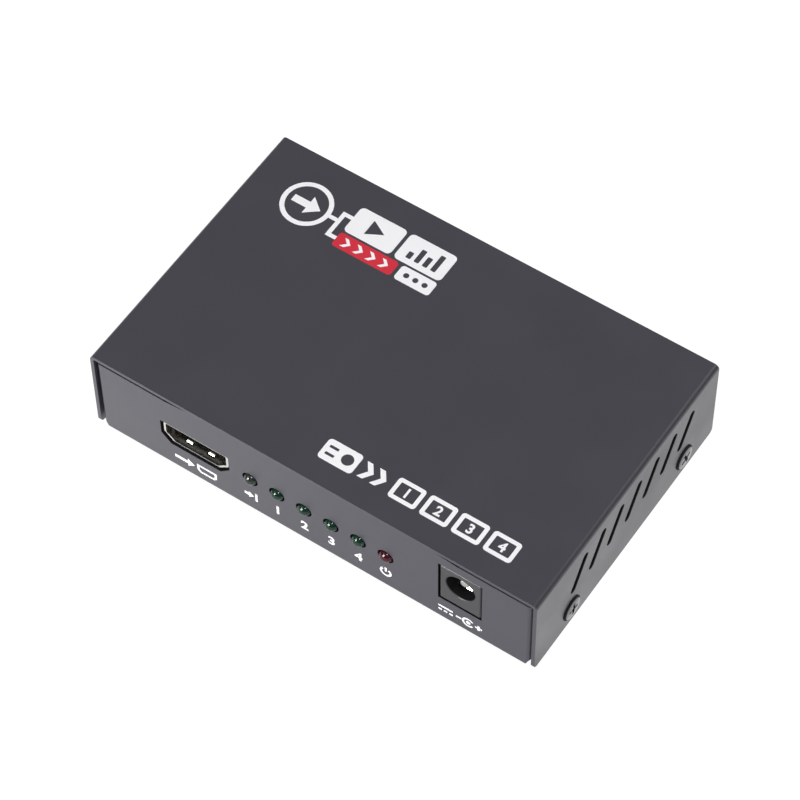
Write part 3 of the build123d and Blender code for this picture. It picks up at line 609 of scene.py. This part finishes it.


# Painted shade on the walls of the vent slots and the panels' openings, on the panels' top edges, and
# inside the jack's bore.
paint_shade(cover, painted_shade_black, in_vent_slot)
paint_shade(tray, painted_shade_black, in_panel_gap)
paint_shade(housing, painted_bore_shade, in_jack_bore)

# %% [markdown]
# ## Cover screws
#
# The four screws have low domed heads with a cross recess. The solids' heads are flat with a rounded
# edge, so the dome gets a profile of its own, which is spun once round the screw's axis. The recess is
# cut out with a Boolean modifier, which is then applied.


# %% Helpers that spin and cut
def spun(profile, steps):
    """Closed solid from a profile of (radius, height) points, from the axis to the axis, spun about Z."""
    shape = bmesh.new()
    verts = [shape.verts.new((radius, 0, height)) for radius, height in profile]
    edges = [shape.edges.new(pair) for pair in zip(verts, verts[1:])]
    bmesh.ops.spin(shape, geom=verts + edges, cent=(0, 0, 0), axis=(0, 0, 1), angle=2 * math.pi,
                   steps=steps, use_merge=True)
    bmesh.ops.remove_doubles(shape, verts=shape.verts, dist=MERGE)
    bmesh.ops.recalc_face_normals(shape, faces=shape.faces)
    return shape


def apply_modifiers(made):
    """Replace an object's mesh by what its modifiers make of it."""
    bpy.context.view_layer.update()
    graph = bpy.context.evaluated_depsgraph_get()
    mesh = bpy.data.meshes.new_from_object(made.evaluated_get(graph))
    made.modifiers.clear()
    made.data = mesh


def cut_away(made, cutter_shape):
    """Cut a bmesh out of an object."""
    mesh = bpy.data.meshes.new("cutter")
    cutter_shape.to_mesh(mesh)
    cutter_shape.free()
    cutter = bpy.data.objects.new("cutter", mesh)
    scene.collection.objects.link(cutter)
    cut = made.modifiers.new("cut", "BOOLEAN")
    cut.operation = "DIFFERENCE"
    cut.solver = "EXACT"
    cut.object = cutter
    apply_modifiers(made)
    bpy.data.objects.remove(cutter)


print("spin and cut helpers ready")

# %% [markdown]
# The profile of a screw runs from the middle of the dome over the slanted rim, under the head and down
# the shank. The cutter for the recess is a cross that narrows downwards. All lengths are millimetres.

# %% Profile of a screw and the cross of its recess
HEAD_RADIUS = 2.76
SOLID_HEAD_RADIUS = 2.9
TOP_RADIUS = 2.4
HEAD_RISE = 0.55
HEAD_FOOT = 0.04
HEAD_STEPS = 56
SHANK_RADIUS = 1.5
SHANK_END = -4.2
SHANK_TIP = 0.3
RECESS_ARM = 1.95
RECESS_HALF_WIDTH = 0.46
RECESS_DEPTH = 0.62
RECESS_TAPER = 0.55

head_profile = [(0, HEAD_RISE), (0.9, HEAD_RISE * 0.99), (1.5, HEAD_RISE * 0.95),
                (1.95, HEAD_RISE * 0.88), (2.2, HEAD_RISE * 0.80), (TOP_RADIUS, HEAD_RISE * 0.72),
                (HEAD_RADIUS, HEAD_RISE * 0.30), (HEAD_RADIUS, HEAD_FOOT), (HEAD_RADIUS - HEAD_FOOT, 0),
                (SHANK_RADIUS, 0), (SHANK_RADIUS, SHANK_END + SHANK_TIP),
                (SHANK_RADIUS - SHANK_TIP, SHANK_END), (0, SHANK_END)]


def tapered_cross():
    """Cross that narrows downwards: three by three squares without the four corners, made thick."""
    shape = bmesh.new()
    bmesh.ops.create_grid(shape, x_segments=3, y_segments=3, size=RECESS_ARM)
    corners = [face for face in shape.faces
               if min(abs(v) for v in face.calc_center_median()[:2]) > RECESS_ARM / 3]
    bmesh.ops.delete(shape, geom=corners, context="FACES")
    for vert in shape.verts:
        for axis in (0, 1):
            if abs(vert.co[axis]) < RECESS_ARM / 2:
                vert.co[axis] = math.copysign(RECESS_HALF_WIDTH, vert.co[axis])
    bmesh.ops.translate(shape, verts=shape.verts, vec=(0, 0, RECESS_DEPTH))
    verts = verts_of(bmesh.ops.extrude_face_region(shape, geom=list(shape.faces))["geom"])
    bmesh.ops.translate(shape, verts=verts, vec=(0, 0, -2 * RECESS_DEPTH))
    bmesh.ops.scale(shape, verts=verts, vec=(RECESS_TAPER, RECESS_TAPER, 1))
    bmesh.ops.recalc_face_normals(shape, faces=shape.faces)
    return shape


print("points of the profile:", len(head_profile))

# %% [markdown]
# One screw is made along Z. It is copied to its four places, each turned by another angle, as a driver
# leaves them. The dome keeps the glossy black of the screws, and the slanted rim round it gets painted
# shade: a dull near-black.

# %% Four screws
FIRST_TURN, NEXT_TURN = 20, 31
RIM_LOOKS_OUT = 0.85

screw = make_object("cover_screw_heads", spun(head_profile, HEAD_STEPS), finishes["black_screw"])
crosses = tapered_cross()
bmesh.ops.translate(crosses, verts=crosses.verts, vec=(0, 0, HEAD_RISE))
cut_away(screw, crosses)
shape = bmesh.new()
shape.from_mesh(screw.data)
one = list(shape.verts) + list(shape.edges) + list(shape.faces)
low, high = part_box("cover_screws")
screw_z = (low.z + high.z) / 2 / MM
screw_front = low.y / MM + SOLID_HEAD_RADIUS
screw_back = high.y / MM - SOLID_HEAD_RADIUS
case_half = high.x / MM - HEAD_RISE
screw_places = [(side, y) for side in (-1, 1) for y in (screw_front, screw_back)]
for index, (side, y) in enumerate(screw_places):
    verts = verts_of(bmesh.ops.duplicate(shape, geom=one)["geom"])
    driven = Matrix.Rotation(math.radians(FIRST_TURN + NEXT_TURN * index), 4, "Z")
    outward = Matrix.Rotation(side * math.pi / 2, 4, "Y")
    moved = Matrix.Translation((side * case_half, y, screw_z))
    bmesh.ops.transform(shape, verts=verts, matrix=moved @ (outward @ driven))
bmesh.ops.delete(shape, geom=verts_of(one), context="VERTS")
bmesh.ops.scale(shape, verts=shape.verts, vec=(MM, MM, MM))
bpy.data.objects.remove(screw)
heads = make_object("cover_screw_heads", shape, finishes["black_screw"])
stand_for(heads, "black_screw", "cover_screws")


def on_head_rim(place, normal):
    """Whether a face is on the slanted rim of a head, which gets painted shade."""
    nearest = min(math.hypot(place.y - y, place.z - screw_z) for y in (screw_front, screw_back))
    return nearest > TOP_RADIUS and abs(normal.x) < RIM_LOOKS_OUT


# Painted shade: the slanted rims of the screw heads get a dull near-black.
paint_shade(heads, painted_shade_black, on_head_rim)

# %% [markdown]
# ## Lamps of the front panel
#
# A 3 mm lamp is a bullet of clear resin cast round two metal posts. The bullet is spun from its
# profile: a quarter circle for the dome, a straight barrel, and a wider rim with small bevels. The rim
# is flat on one side, so its corners there are moved in to that flat.

# %% Lenses
LENS_RADIUS = 1.5
RIM_RADIUS = 1.85
RIM_FLAT = 1.6
RIM_START = 4.3
RIM_END = 5.3
RIM_BEVEL = 0.08
RIM_FILLET = 0.12
LENS_STEPS = 48
LAMP_NODES = ("led_input", "led_1", "led_2", "led_3", "led_4", "led_power")
DOME_STEPS = 12

lens_profile = []
for step in range(DOME_STEPS + 1):
    angle = math.pi / 2 * step / DOME_STEPS
    lens_profile.append((LENS_RADIUS * math.sin(angle), LENS_RADIUS * (1 - math.cos(angle))))
lens_profile += [(LENS_RADIUS, RIM_START - RIM_FILLET), (LENS_RADIUS + RIM_FILLET, RIM_START),
                 (RIM_RADIUS - RIM_BEVEL, RIM_START), (RIM_RADIUS, RIM_START + RIM_BEVEL),
                 (RIM_RADIUS, RIM_END - RIM_BEVEL), (RIM_RADIUS - RIM_BEVEL, RIM_END), (0, RIM_END)]


def lamp_place(node):
    """Matrix that takes a lamp made at the origin, looking down -Z, to its place."""
    low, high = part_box(node)
    tip = Vector(((low.x + high.x) / 2, low.y, (low.z + high.z) / 2))
    middle = Vector((low.x + RIM_RADIUS * MM, tip.y, tip.z))
    return Matrix.Translation(middle) @ Matrix.Rotation(-math.pi / 2, 4, "X") @ Matrix.Scale(MM, 4)


for node in LAMP_NODES:
    shape = spun(lens_profile, LENS_STEPS)
    for vert in shape.verts:
        if vert.co.z > RIM_START - NEAR:
            vert.co.x = min(vert.co.x, RIM_FLAT)
    bmesh.ops.transform(shape, verts=shape.verts, matrix=lamp_place(node))
    lens = make_object(node + "_lens", shape, finishes[slots[node]])
    stand_for(lens, slots[node], node)

# %% [markdown]
# One post ends in a small cup that holds the light chip, and the other post ends beside it. They are
# what one sees through the tint. The cup is spun, and the posts and the chip are blocks. The real wire
# from the chip to the second post is thinner than a hair, and it is left out.

# %% Cups and posts inside the lenses
CUP_FRONT = 2.5
CUP_FLOOR = CUP_FRONT + 0.35
CUP_BACK = CUP_FRONT + 1.0
CUP_RADIUS = 0.62
CUP_STEPS = 24
POST_HALF = 0.225
POST_START, POST_END = CUP_FRONT + 0.8, RIM_END - 0.05
SECOND_START = CUP_FRONT + 0.1
SECOND_LEFT, SECOND_RIGHT = 0.78, 1.12
CHIP_HALF = 0.15
CHIP_FRONT, CHIP_BACK = CUP_FRONT + 0.2, CUP_FRONT + 0.38
BLOCK_ROUNDING = 0.12
CUP_PROFILE = [(0, CUP_FLOOR), (0.26, CUP_FLOOR), (0.50, CUP_FRONT), (CUP_RADIUS, CUP_FRONT),
               (CUP_RADIUS, CUP_FRONT + 0.45), (POST_HALF, CUP_BACK), (0, CUP_BACK)]


def add_block(shape, low, high):
    """Add a block between two corners, with its edges a little rounded."""
    verts = bmesh.ops.create_cube(shape, size=1.0)["verts"]
    size = Vector(high) - Vector(low)
    bmesh.ops.scale(shape, verts=verts, vec=size)
    bmesh.ops.translate(shape, verts=verts, vec=(Vector(low) + Vector(high)) / 2)
    edges = list({edge for vert in verts for edge in vert.link_edges})
    bmesh.ops.bevel(shape, geom=edges, offset=min(size) * BLOCK_ROUNDING, offset_type="OFFSET",
                    affect="EDGES", segments=EDGE_STEPS, profile=ROUND, material=-1)


frames = bmesh.new()
for node in LAMP_NODES:
    shape = spun(CUP_PROFILE, CUP_STEPS)
    add_block(shape, (-POST_HALF, -POST_HALF, POST_START), (POST_HALF, POST_HALF, POST_END))
    add_block(shape, (SECOND_LEFT, -POST_HALF, SECOND_START), (SECOND_RIGHT, POST_HALF, POST_END))
    add_block(shape, (-CHIP_HALF, -CHIP_HALF, CHIP_FRONT), (CHIP_HALF, CHIP_HALF, CHIP_BACK))
    bmesh.ops.transform(shape, verts=shape.verts, matrix=lamp_place(node))
    mesh = bpy.data.meshes.new("one_frame")
    shape.to_mesh(mesh)
    shape.free()
    frames.from_mesh(mesh)
stand_for(make_object("led_cups_and_posts", frames, finishes["nickel_contact"]), "nickel_contact")

# %% [markdown]
# ## Prints
#
# The box carries plain signs instead of words: numbers under the lamps, an arrow for the input, the
# usual signs for power and for direct current, and a drawing of one signal that becomes four. Each
# sign is a few closed outlines in millimetres, and each kind of outline has a function of its own.

# %% Helpers that draw outlines
CORNER_STEPS = 7
CIRCLE_STEPS = 40
ARROW_HEAD = 0.62


def trace(shape, face):
    """Keep a face's outline and drop the face."""
    bmesh.ops.delete(shape, geom=[face], context="FACES_ONLY")


def box_outline(shape, x, y, width, height, corner=0.0, corners="all"):
    """Rectangle with its middle at x, y, and with round corners, or only its low corners cut."""
    verts = bmesh.ops.create_grid(shape, x_segments=1, y_segments=1, size=0.5)["verts"]
    bmesh.ops.scale(shape, verts=verts, vec=(width, height, 1))
    bmesh.ops.translate(shape, verts=verts, vec=(x, y, 0))
    face = verts[0].link_faces[0]
    if corner:
        picked = verts if corners == "all" else [vert for vert in verts if vert.co.y < y]
        steps = CORNER_STEPS if corners == "all" else 1
        made = bmesh.ops.bevel(shape, geom=picked, offset=corner, offset_type="OFFSET", affect="VERTICES",
                               segments=steps, profile=ROUND, material=-1)
        face = made["verts"][0].link_faces[0]
    trace(shape, face)


def disc_outline(shape, x, y, radius):
    """Circle with its middle at x, y."""
    verts = bmesh.ops.create_circle(shape, cap_ends=True, segments=CIRCLE_STEPS, radius=radius)["verts"]
    bmesh.ops.translate(shape, verts=verts, vec=(x, y, 0))
    trace(shape, verts[0].link_faces[0])


def corner_outline(shape, points):
    """Closed outline through a few corners."""
    verts = [shape.verts.new((x, y, 0)) for x, y in points]
    for pair in zip(verts, verts[1:] + verts[:1]):
        shape.edges.new(pair)


def arrow_outline(shape, x, y, length, height, shaft=0.36):
    """Arrow to the right whose middle is at x, y. Its shaft is a share of its height."""
    half = shaft * height / 2
    tail = x - length / 2
    tip = x + length / 2
    neck = tip - height * ARROW_HEAD
    corner_outline(shape, [(tail, y - half), (neck, y - half), (neck, y - height / 2), (tip, y),
                           (neck, y + height / 2), (neck, y + half), (tail, y + half)])


def chevron_outline(shape, x, y, width, height, line):
    """Thick angle bracket that points right."""
    left = x - width / 2
    tip = x + width / 2
    corner_outline(shape, [(left, y - height / 2), (left + line, y - height / 2), (tip, y),
                           (left + line, y + height / 2), (left, y + height / 2), (tip - line, y)])


print("outline helpers ready")

# %% [markdown]
# The outlines of a sign are filled together. An outline inside another becomes a hole, because the
# fill operator counts the outlines that it crosses. The digits come from Blender's own plain font, a
# little thickened. Its four would lose its eye that way, so the four is drawn as outlines too.

# %% Helpers that fill signs and digits
ARC_STEPS = 36
DIGIT_GROWTH = 0.031
FOUR = [(0.25, 0.34), (0.25, 0.19), (0.18, 0.19), (0.18, -0.03), (0.02, -0.03), (0.02, 0.19),
        (-0.27, 0.19), (-0.27, 0.28), (0.09, 0.72), (0.18, 0.72), (0.18, 0.34)]
FOUR_EYE = [(0.02, 0.475), (0.02, 0.34), (-0.09, 0.34)]
FOUR_MIDDLE = (-0.01, 0.345)
FOUR_HEIGHT = 0.75


def add_sign(art, *outlines):
    """Fill a few outlines as one sign, with holes where they nest, and add it to a drawing."""
    shape = bmesh.new()
    for draw, *sizes in outlines:
        draw(shape, *sizes)
    bmesh.ops.triangle_fill(shape, use_beauty=True, use_dissolve=False, edges=shape.edges)
    mesh = bpy.data.meshes.new("sign")
    shape.to_mesh(mesh)
    shape.free()
    art.from_mesh(mesh)


def add_four(shape, x, y, height):
    """Add a four with an open eye, which the font's own four loses as its lines grow."""
    grow = height / FOUR_HEIGHT
    middle_x, middle_y = FOUR_MIDDLE
    outlines = [[(x + (px - middle_x) * grow, y + (py - middle_y) * grow) for px, py in corners]
                for corners in (FOUR, FOUR_EYE)]
    add_sign(shape, *[(corner_outline, corners) for corners in outlines])


def add_digit(shape, digit, x, y, height):
    """Add a filled digit from Blender's own plain font, or the drawn four."""
    if digit == "4":
        add_four(shape, x, y, height)
        return
    curve = bpy.data.curves.new("digit", "FONT")
    curve.body = digit
    curve.align_x = "CENTER"
    curve.offset = DIGIT_GROWTH
    written = bpy.data.objects.new("digit", curve)
    scene.collection.objects.link(written)
    bpy.context.view_layer.update()
    graph = bpy.context.evaluated_depsgraph_get()
    mesh = bpy.data.meshes.new_from_object(written.evaluated_get(graph))
    bpy.data.objects.remove(written)
    across = [vert.co.x for vert in mesh.vertices]
    upward = [vert.co.y for vert in mesh.vertices]
    grow = height / (max(upward) - min(upward))
    middle = Vector(((min(across) + max(across)) / 2, (min(upward) + max(upward)) / 2, 0))
    mesh.transform(Matrix.Translation((x, y, 0)) @ Matrix.Scale(grow, 4) @ Matrix.Translation(-middle))
    shape.from_mesh(mesh)


def arc_band(shape, x, y, radius, line, start, sweep):
    """Add a filled band along an arc, from an angle and over a sweep in degrees."""
    begin = math.radians(start)
    ray = Vector((math.cos(begin), math.sin(begin), 0))
    ends = [shape.verts.new(Vector((x, y, 0)) + ray * r) for r in (radius - line / 2, radius + line / 2)]
    edge = shape.edges.new(ends)
    bmesh.ops.spin(shape, geom=ends + [edge], cent=(x, y, 0), axis=(0, 0, 1), angle=math.radians(sweep),
                   steps=ARC_STEPS)


print("sign helpers ready")

# %% [markdown]
# A drawing is made flat, seen from straight ahead. It is then lifted to the thickness of ink and put
# in its place by a matrix: one lays it on the top, one stands it up on the front, and the same turned
# half round serves the back.

# %% Turn flat shapes into ink
INK_THICKNESS = 0.012
FRONT_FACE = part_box("chassis")[0].y / MM
TOP_FACE = solid_high.z / MM
upright = Matrix.Rotation(math.pi / 2, 4, "X")
on_top = Matrix.Scale(MM, 4) @ Matrix.Translation((0, 0, TOP_FACE))
on_front = Matrix.Scale(MM, 4) @ Matrix.Translation((0, FRONT_FACE, 0)) @ upright
on_back = Matrix.Rotation(math.pi, 4, "Z") @ on_front


def print_ink(name, shape, place, ink):
    """Make a flat drawing as thick as ink and put it on its face of the box."""
    drawn = bmesh.ops.extrude_face_region(shape, geom=list(shape.faces), use_keep_orig=True)["geom"]
    bmesh.ops.translate(shape, verts=verts_of(drawn), vec=(0, 0, INK_THICKNESS))
    bmesh.ops.recalc_face_normals(shape, faces=shape.faces)
    bmesh.ops.transform(shape, verts=shape.verts, matrix=place)
    made = make_object(name, shape, inks[ink])
    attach(made, CASE)
    print(name, "faces", len(made.data.polygons))
    return made


print("top at", round(TOP_FACE, 2), "and front at", round(FRONT_FACE, 2))

# %% [markdown]
# The drawing on the top's back corner shows a ring with an arrow, a line that branches, and plates of
# different sizes in white and red. The plates carry a play sign, bars, dots and arrow heads.

# %% Drawing at the back left of the top
RING_X, RING_Y, RING_RADIUS, RING_LINE = -36.4, 20.4, 5.35, 1.0
TRUNK_X, LINE_WIDTH = -28.9, 0.9
UPPER_Y, UPPER_HEIGHT = 22.4, 6.8
LOWER_Y, LOWER_HEIGHT = 16.7, 3.6
LEFT_PLATE_X, RIGHT_PLATE_X, PLATE_WIDTH = -21.6, -10.0, 10.8
RED_WIDTH, WHITE_WIDTH = 13.6, 8.0
LARGE_CORNER, SMALL_CORNER = 1.0, 0.7
RING_ARROW = (6.4, 4.6)
PLAY_SIGN = [(-1.5, -1.9), (2.0, 0.0), (-1.5, 1.9)]
BAR_HEIGHTS = (1.7, 3.4, 2.5, 4.2)
BAR_START, BAR_STEP, BAR_FOOT, BAR_WIDTH, BAR_CORNER = -2.85, 1.9, -2.1, 1.1, 0.2
DOT_STEP, DOT_RADIUS = 2.1, 0.6
FLOW_PLACES = (-4.35, -1.45, 1.45, 4.35)
FLOW_SIGN = (1.9, 2.1, 0.85)

white_art = bmesh.new()
red_art = bmesh.new()
plate_left = LEFT_PLATE_X - PLATE_WIDTH / 2
plate_right = RIGHT_PLATE_X + PLATE_WIDTH / 2
add_sign(white_art, (disc_outline, RING_X, RING_Y, RING_RADIUS),
         (disc_outline, RING_X, RING_Y, RING_RADIUS - RING_LINE),
         (arrow_outline, RING_X, RING_Y, *RING_ARROW))
ring_right = RING_X + RING_RADIUS
trunk_left = TRUNK_X - LINE_WIDTH / 2
trunk_right = TRUNK_X + LINE_WIDTH / 2
trunk_height = UPPER_Y - LOWER_Y + LINE_WIDTH
stem = (ring_right + trunk_left) / 2, RING_Y, trunk_left - ring_right, LINE_WIDTH
add_sign(white_art, (box_outline, *stem))
add_sign(white_art, (box_outline, TRUNK_X, (UPPER_Y + LOWER_Y) / 2, LINE_WIDTH, trunk_height))
for y in (UPPER_Y, LOWER_Y):
    branch = (trunk_right + plate_left) / 2, y, plate_left - trunk_right, LINE_WIDTH
    add_sign(white_art, (box_outline, *branch))
play = [(LEFT_PLATE_X + x, UPPER_Y + y) for x, y in PLAY_SIGN]
add_sign(white_art, (box_outline, LEFT_PLATE_X, UPPER_Y, PLATE_WIDTH, UPPER_HEIGHT, LARGE_CORNER),
         (corner_outline, play))
bars = [(box_outline, RIGHT_PLATE_X + BAR_START + BAR_STEP * index, UPPER_Y + BAR_FOOT + tall / 2,
         BAR_WIDTH, tall, BAR_CORNER) for index, tall in enumerate(BAR_HEIGHTS)]
add_sign(white_art, (box_outline, RIGHT_PLATE_X, UPPER_Y, PLATE_WIDTH, UPPER_HEIGHT, LARGE_CORNER), *bars)
dots_x = plate_right - WHITE_WIDTH / 2
dots = [(disc_outline, dots_x + DOT_STEP * step, LOWER_Y, DOT_RADIUS) for step in (-1, 0, 1)]
add_sign(white_art, (box_outline, dots_x, LOWER_Y, WHITE_WIDTH, LOWER_HEIGHT, SMALL_CORNER), *dots)
red_x = plate_left + RED_WIDTH / 2
flow = [(chevron_outline, red_x + shift, LOWER_Y, *FLOW_SIGN) for shift in FLOW_PLACES]
add_sign(red_art, (box_outline, red_x, LOWER_Y, RED_WIDTH, LOWER_HEIGHT, SMALL_CORNER), *flow)
for chevron in flow:
    add_sign(white_art, chevron)
print_ink("top_drawing_white", white_art, on_top, "white_ink")
print_ink("top_drawing_red", red_art, on_top, "red_ink")

# %% [markdown]
# The row at the top's front right reads as one sentence without words: a source, two arrow heads, and
# four numbered screens.

# %% Row of signs at the front right of the top
OUTPUTS = 4
ROW_Y, ROW_HEIGHT = -24.3, 4.8
SOURCE_X, SOURCE_WIDTH, SOURCE_CORNER = 2.2, 7.6, 0.8
MARK_X, MARK_RISE = SOURCE_X - 1.9, 0.85
MARK_SIZES = (2.0, 0.6, 0.1)
LENS_X, LENS_SIZE = SOURCE_X + 1.6, 1.25
ARROW_HEADS_X = (8.3, 11.1)
ARROW_HEAD_SIZES = (2.6, 3.8, 1.25)
SCREEN_X, SCREEN_WIDTH, SCREEN_STEP = 17.0, 6.0, 6.93
SCREEN_LINE = 0.85
OUTER_CORNER, INNER_CORNER = 0.7, 0.2
SCREEN_DIGIT = 2.2

art = bmesh.new()
marks = [(box_outline, MARK_X, ROW_Y + rise, *MARK_SIZES) for rise in (-MARK_RISE, MARK_RISE)]
add_sign(art, (box_outline, SOURCE_X, ROW_Y, SOURCE_WIDTH, ROW_HEIGHT, SOURCE_CORNER),
         (disc_outline, LENS_X, ROW_Y, LENS_SIZE), *marks)
for x in ARROW_HEADS_X:
    add_sign(art, (chevron_outline, x, ROW_Y, *ARROW_HEAD_SIZES))
inner_width = SCREEN_WIDTH - 2 * SCREEN_LINE
inner_height = ROW_HEIGHT - 2 * SCREEN_LINE
for index in range(OUTPUTS):
    x = SCREEN_X + SCREEN_STEP * index
    add_sign(art, (box_outline, x, ROW_Y, SCREEN_WIDTH, ROW_HEIGHT, OUTER_CORNER),
             (box_outline, x, ROW_Y, inner_width, inner_height, INNER_CORNER))
    add_digit(art, str(index + 1), x, ROW_Y, SCREEN_DIGIT)
print_ink("top_row", art, on_top, "white_ink")

# %% [markdown]
# On the front, an arrow points into a socket's outline, and an arrow points at a bar under the first
# lamp. The other lamps have their numbers and the sign for power. Under the jack stand the signs for
# direct current and for a plug whose middle is plus. The back panel has the outputs' numbers.

# %% Signs on the front and the back
SIGN_Z, SIGN_HEIGHT, SIGN_LINE = 6.4, 2.6, 0.5
INPUT_X, INPUT_Z = -27.0, 5.3
INPUT_ARROW_X, SOCKET_X = INPUT_X - 2.3, INPUT_X + 2.9
INPUT_ARROW = (4.6, 2.5)
SOCKET_SIGN = ((4.6, 2.5, 0.7, "low"), (3.5, 1.4, 0.4, "low"))
LAMP_ARROW = (2.2, 2.0, 0.4)
LAMP_ARROW_SHIFT, LAMP_BAR_SHIFT = -0.4, 1.2
POWER_RADIUS, POWER_STROKE, POWER_RISE = 1.1, 1.3, 0.8
CURRENT_X, CURRENT_RISE, CURRENT_WIDTH = 30.3, 0.6, 3.2
DASH_STEP, DASH_WIDTH = 1.2, 0.8
PLUG_X, PLUG_Z = 35.3, 5.0
PLUG_RADIUS, PLUG_LINE, PIN_RADIUS = 1.15, 0.45, 0.5
MINUS_X, MINUS_WIDTH = PLUG_X - 2.1, 1.2
PLUS_X, PLUS_WIDTH = PLUG_X + 2.3, 1.5
POWER_START, PLUG_START, OPEN_SWEEP = 125, 35, 290
BACK_SIGN_Z = 5.2

art = bmesh.new()
add_sign(art, (arrow_outline, INPUT_ARROW_X, INPUT_Z, *INPUT_ARROW))
add_sign(art, *[(box_outline, SOCKET_X, INPUT_Z, *sizes) for sizes in SOCKET_SIGN])
lamp_x = [lamp_place(node).translation.x / MM for node in LAMP_NODES]
add_sign(art, (arrow_outline, lamp_x[0] + LAMP_ARROW_SHIFT, SIGN_Z, *LAMP_ARROW))
add_sign(art, (box_outline, lamp_x[0] + LAMP_BAR_SHIFT, SIGN_Z, SIGN_LINE, SIGN_HEIGHT))
for index in range(OUTPUTS):
    add_digit(art, str(index + 1), lamp_x[index + 1], SIGN_Z, SIGN_HEIGHT)
add_sign(art, (box_outline, lamp_x[-1], SIGN_Z + POWER_RISE, SIGN_LINE, POWER_STROKE))
arc_band(art, lamp_x[-1], SIGN_Z, POWER_RADIUS, SIGN_LINE, POWER_START, OPEN_SWEEP)
add_sign(art, (box_outline, CURRENT_X, PLUG_Z + CURRENT_RISE, CURRENT_WIDTH, SIGN_LINE))
for step in (-1, 0, 1):
    dash_x = CURRENT_X + DASH_STEP * step
    add_sign(art, (box_outline, dash_x, PLUG_Z - CURRENT_RISE, DASH_WIDTH, SIGN_LINE))
add_sign(art, (box_outline, MINUS_X, PLUG_Z, MINUS_WIDTH, SIGN_LINE))
add_sign(art, (disc_outline, PLUG_X, PLUG_Z, PIN_RADIUS))
arc_band(art, PLUG_X, PLUG_Z, PLUG_RADIUS, PLUG_LINE, PLUG_START, OPEN_SWEEP)
add_sign(art, (box_outline, PLUS_X, PLUG_Z, PLUS_WIDTH, SIGN_LINE))
arm = (PLUS_WIDTH - SIGN_LINE) / 2
for side in (-1, 1):
    add_sign(art, (box_outline, PLUS_X, PLUG_Z + side * (SIGN_LINE + arm) / 2, SIGN_LINE, arm))
print_ink("front_signs", art, on_front, "white_ink")

art = bmesh.new()
for index in range(OUTPUTS):
    low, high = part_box(f"output_{index + 1}_shell")
    add_digit(art, str(index + 1), -(low.x + high.x) / 2 / MM, BACK_SIGN_Z, SIGN_HEIGHT)
print_ink("back_signs", art, on_back, "white_ink")

# %% [markdown]
# ## End
#
# At the end the scene is brought up to date. The dressed part reaches no further than the solids, but
# for the film of ink on the top.

# %% Bring the scene up to date
bpy.context.view_layer.update()
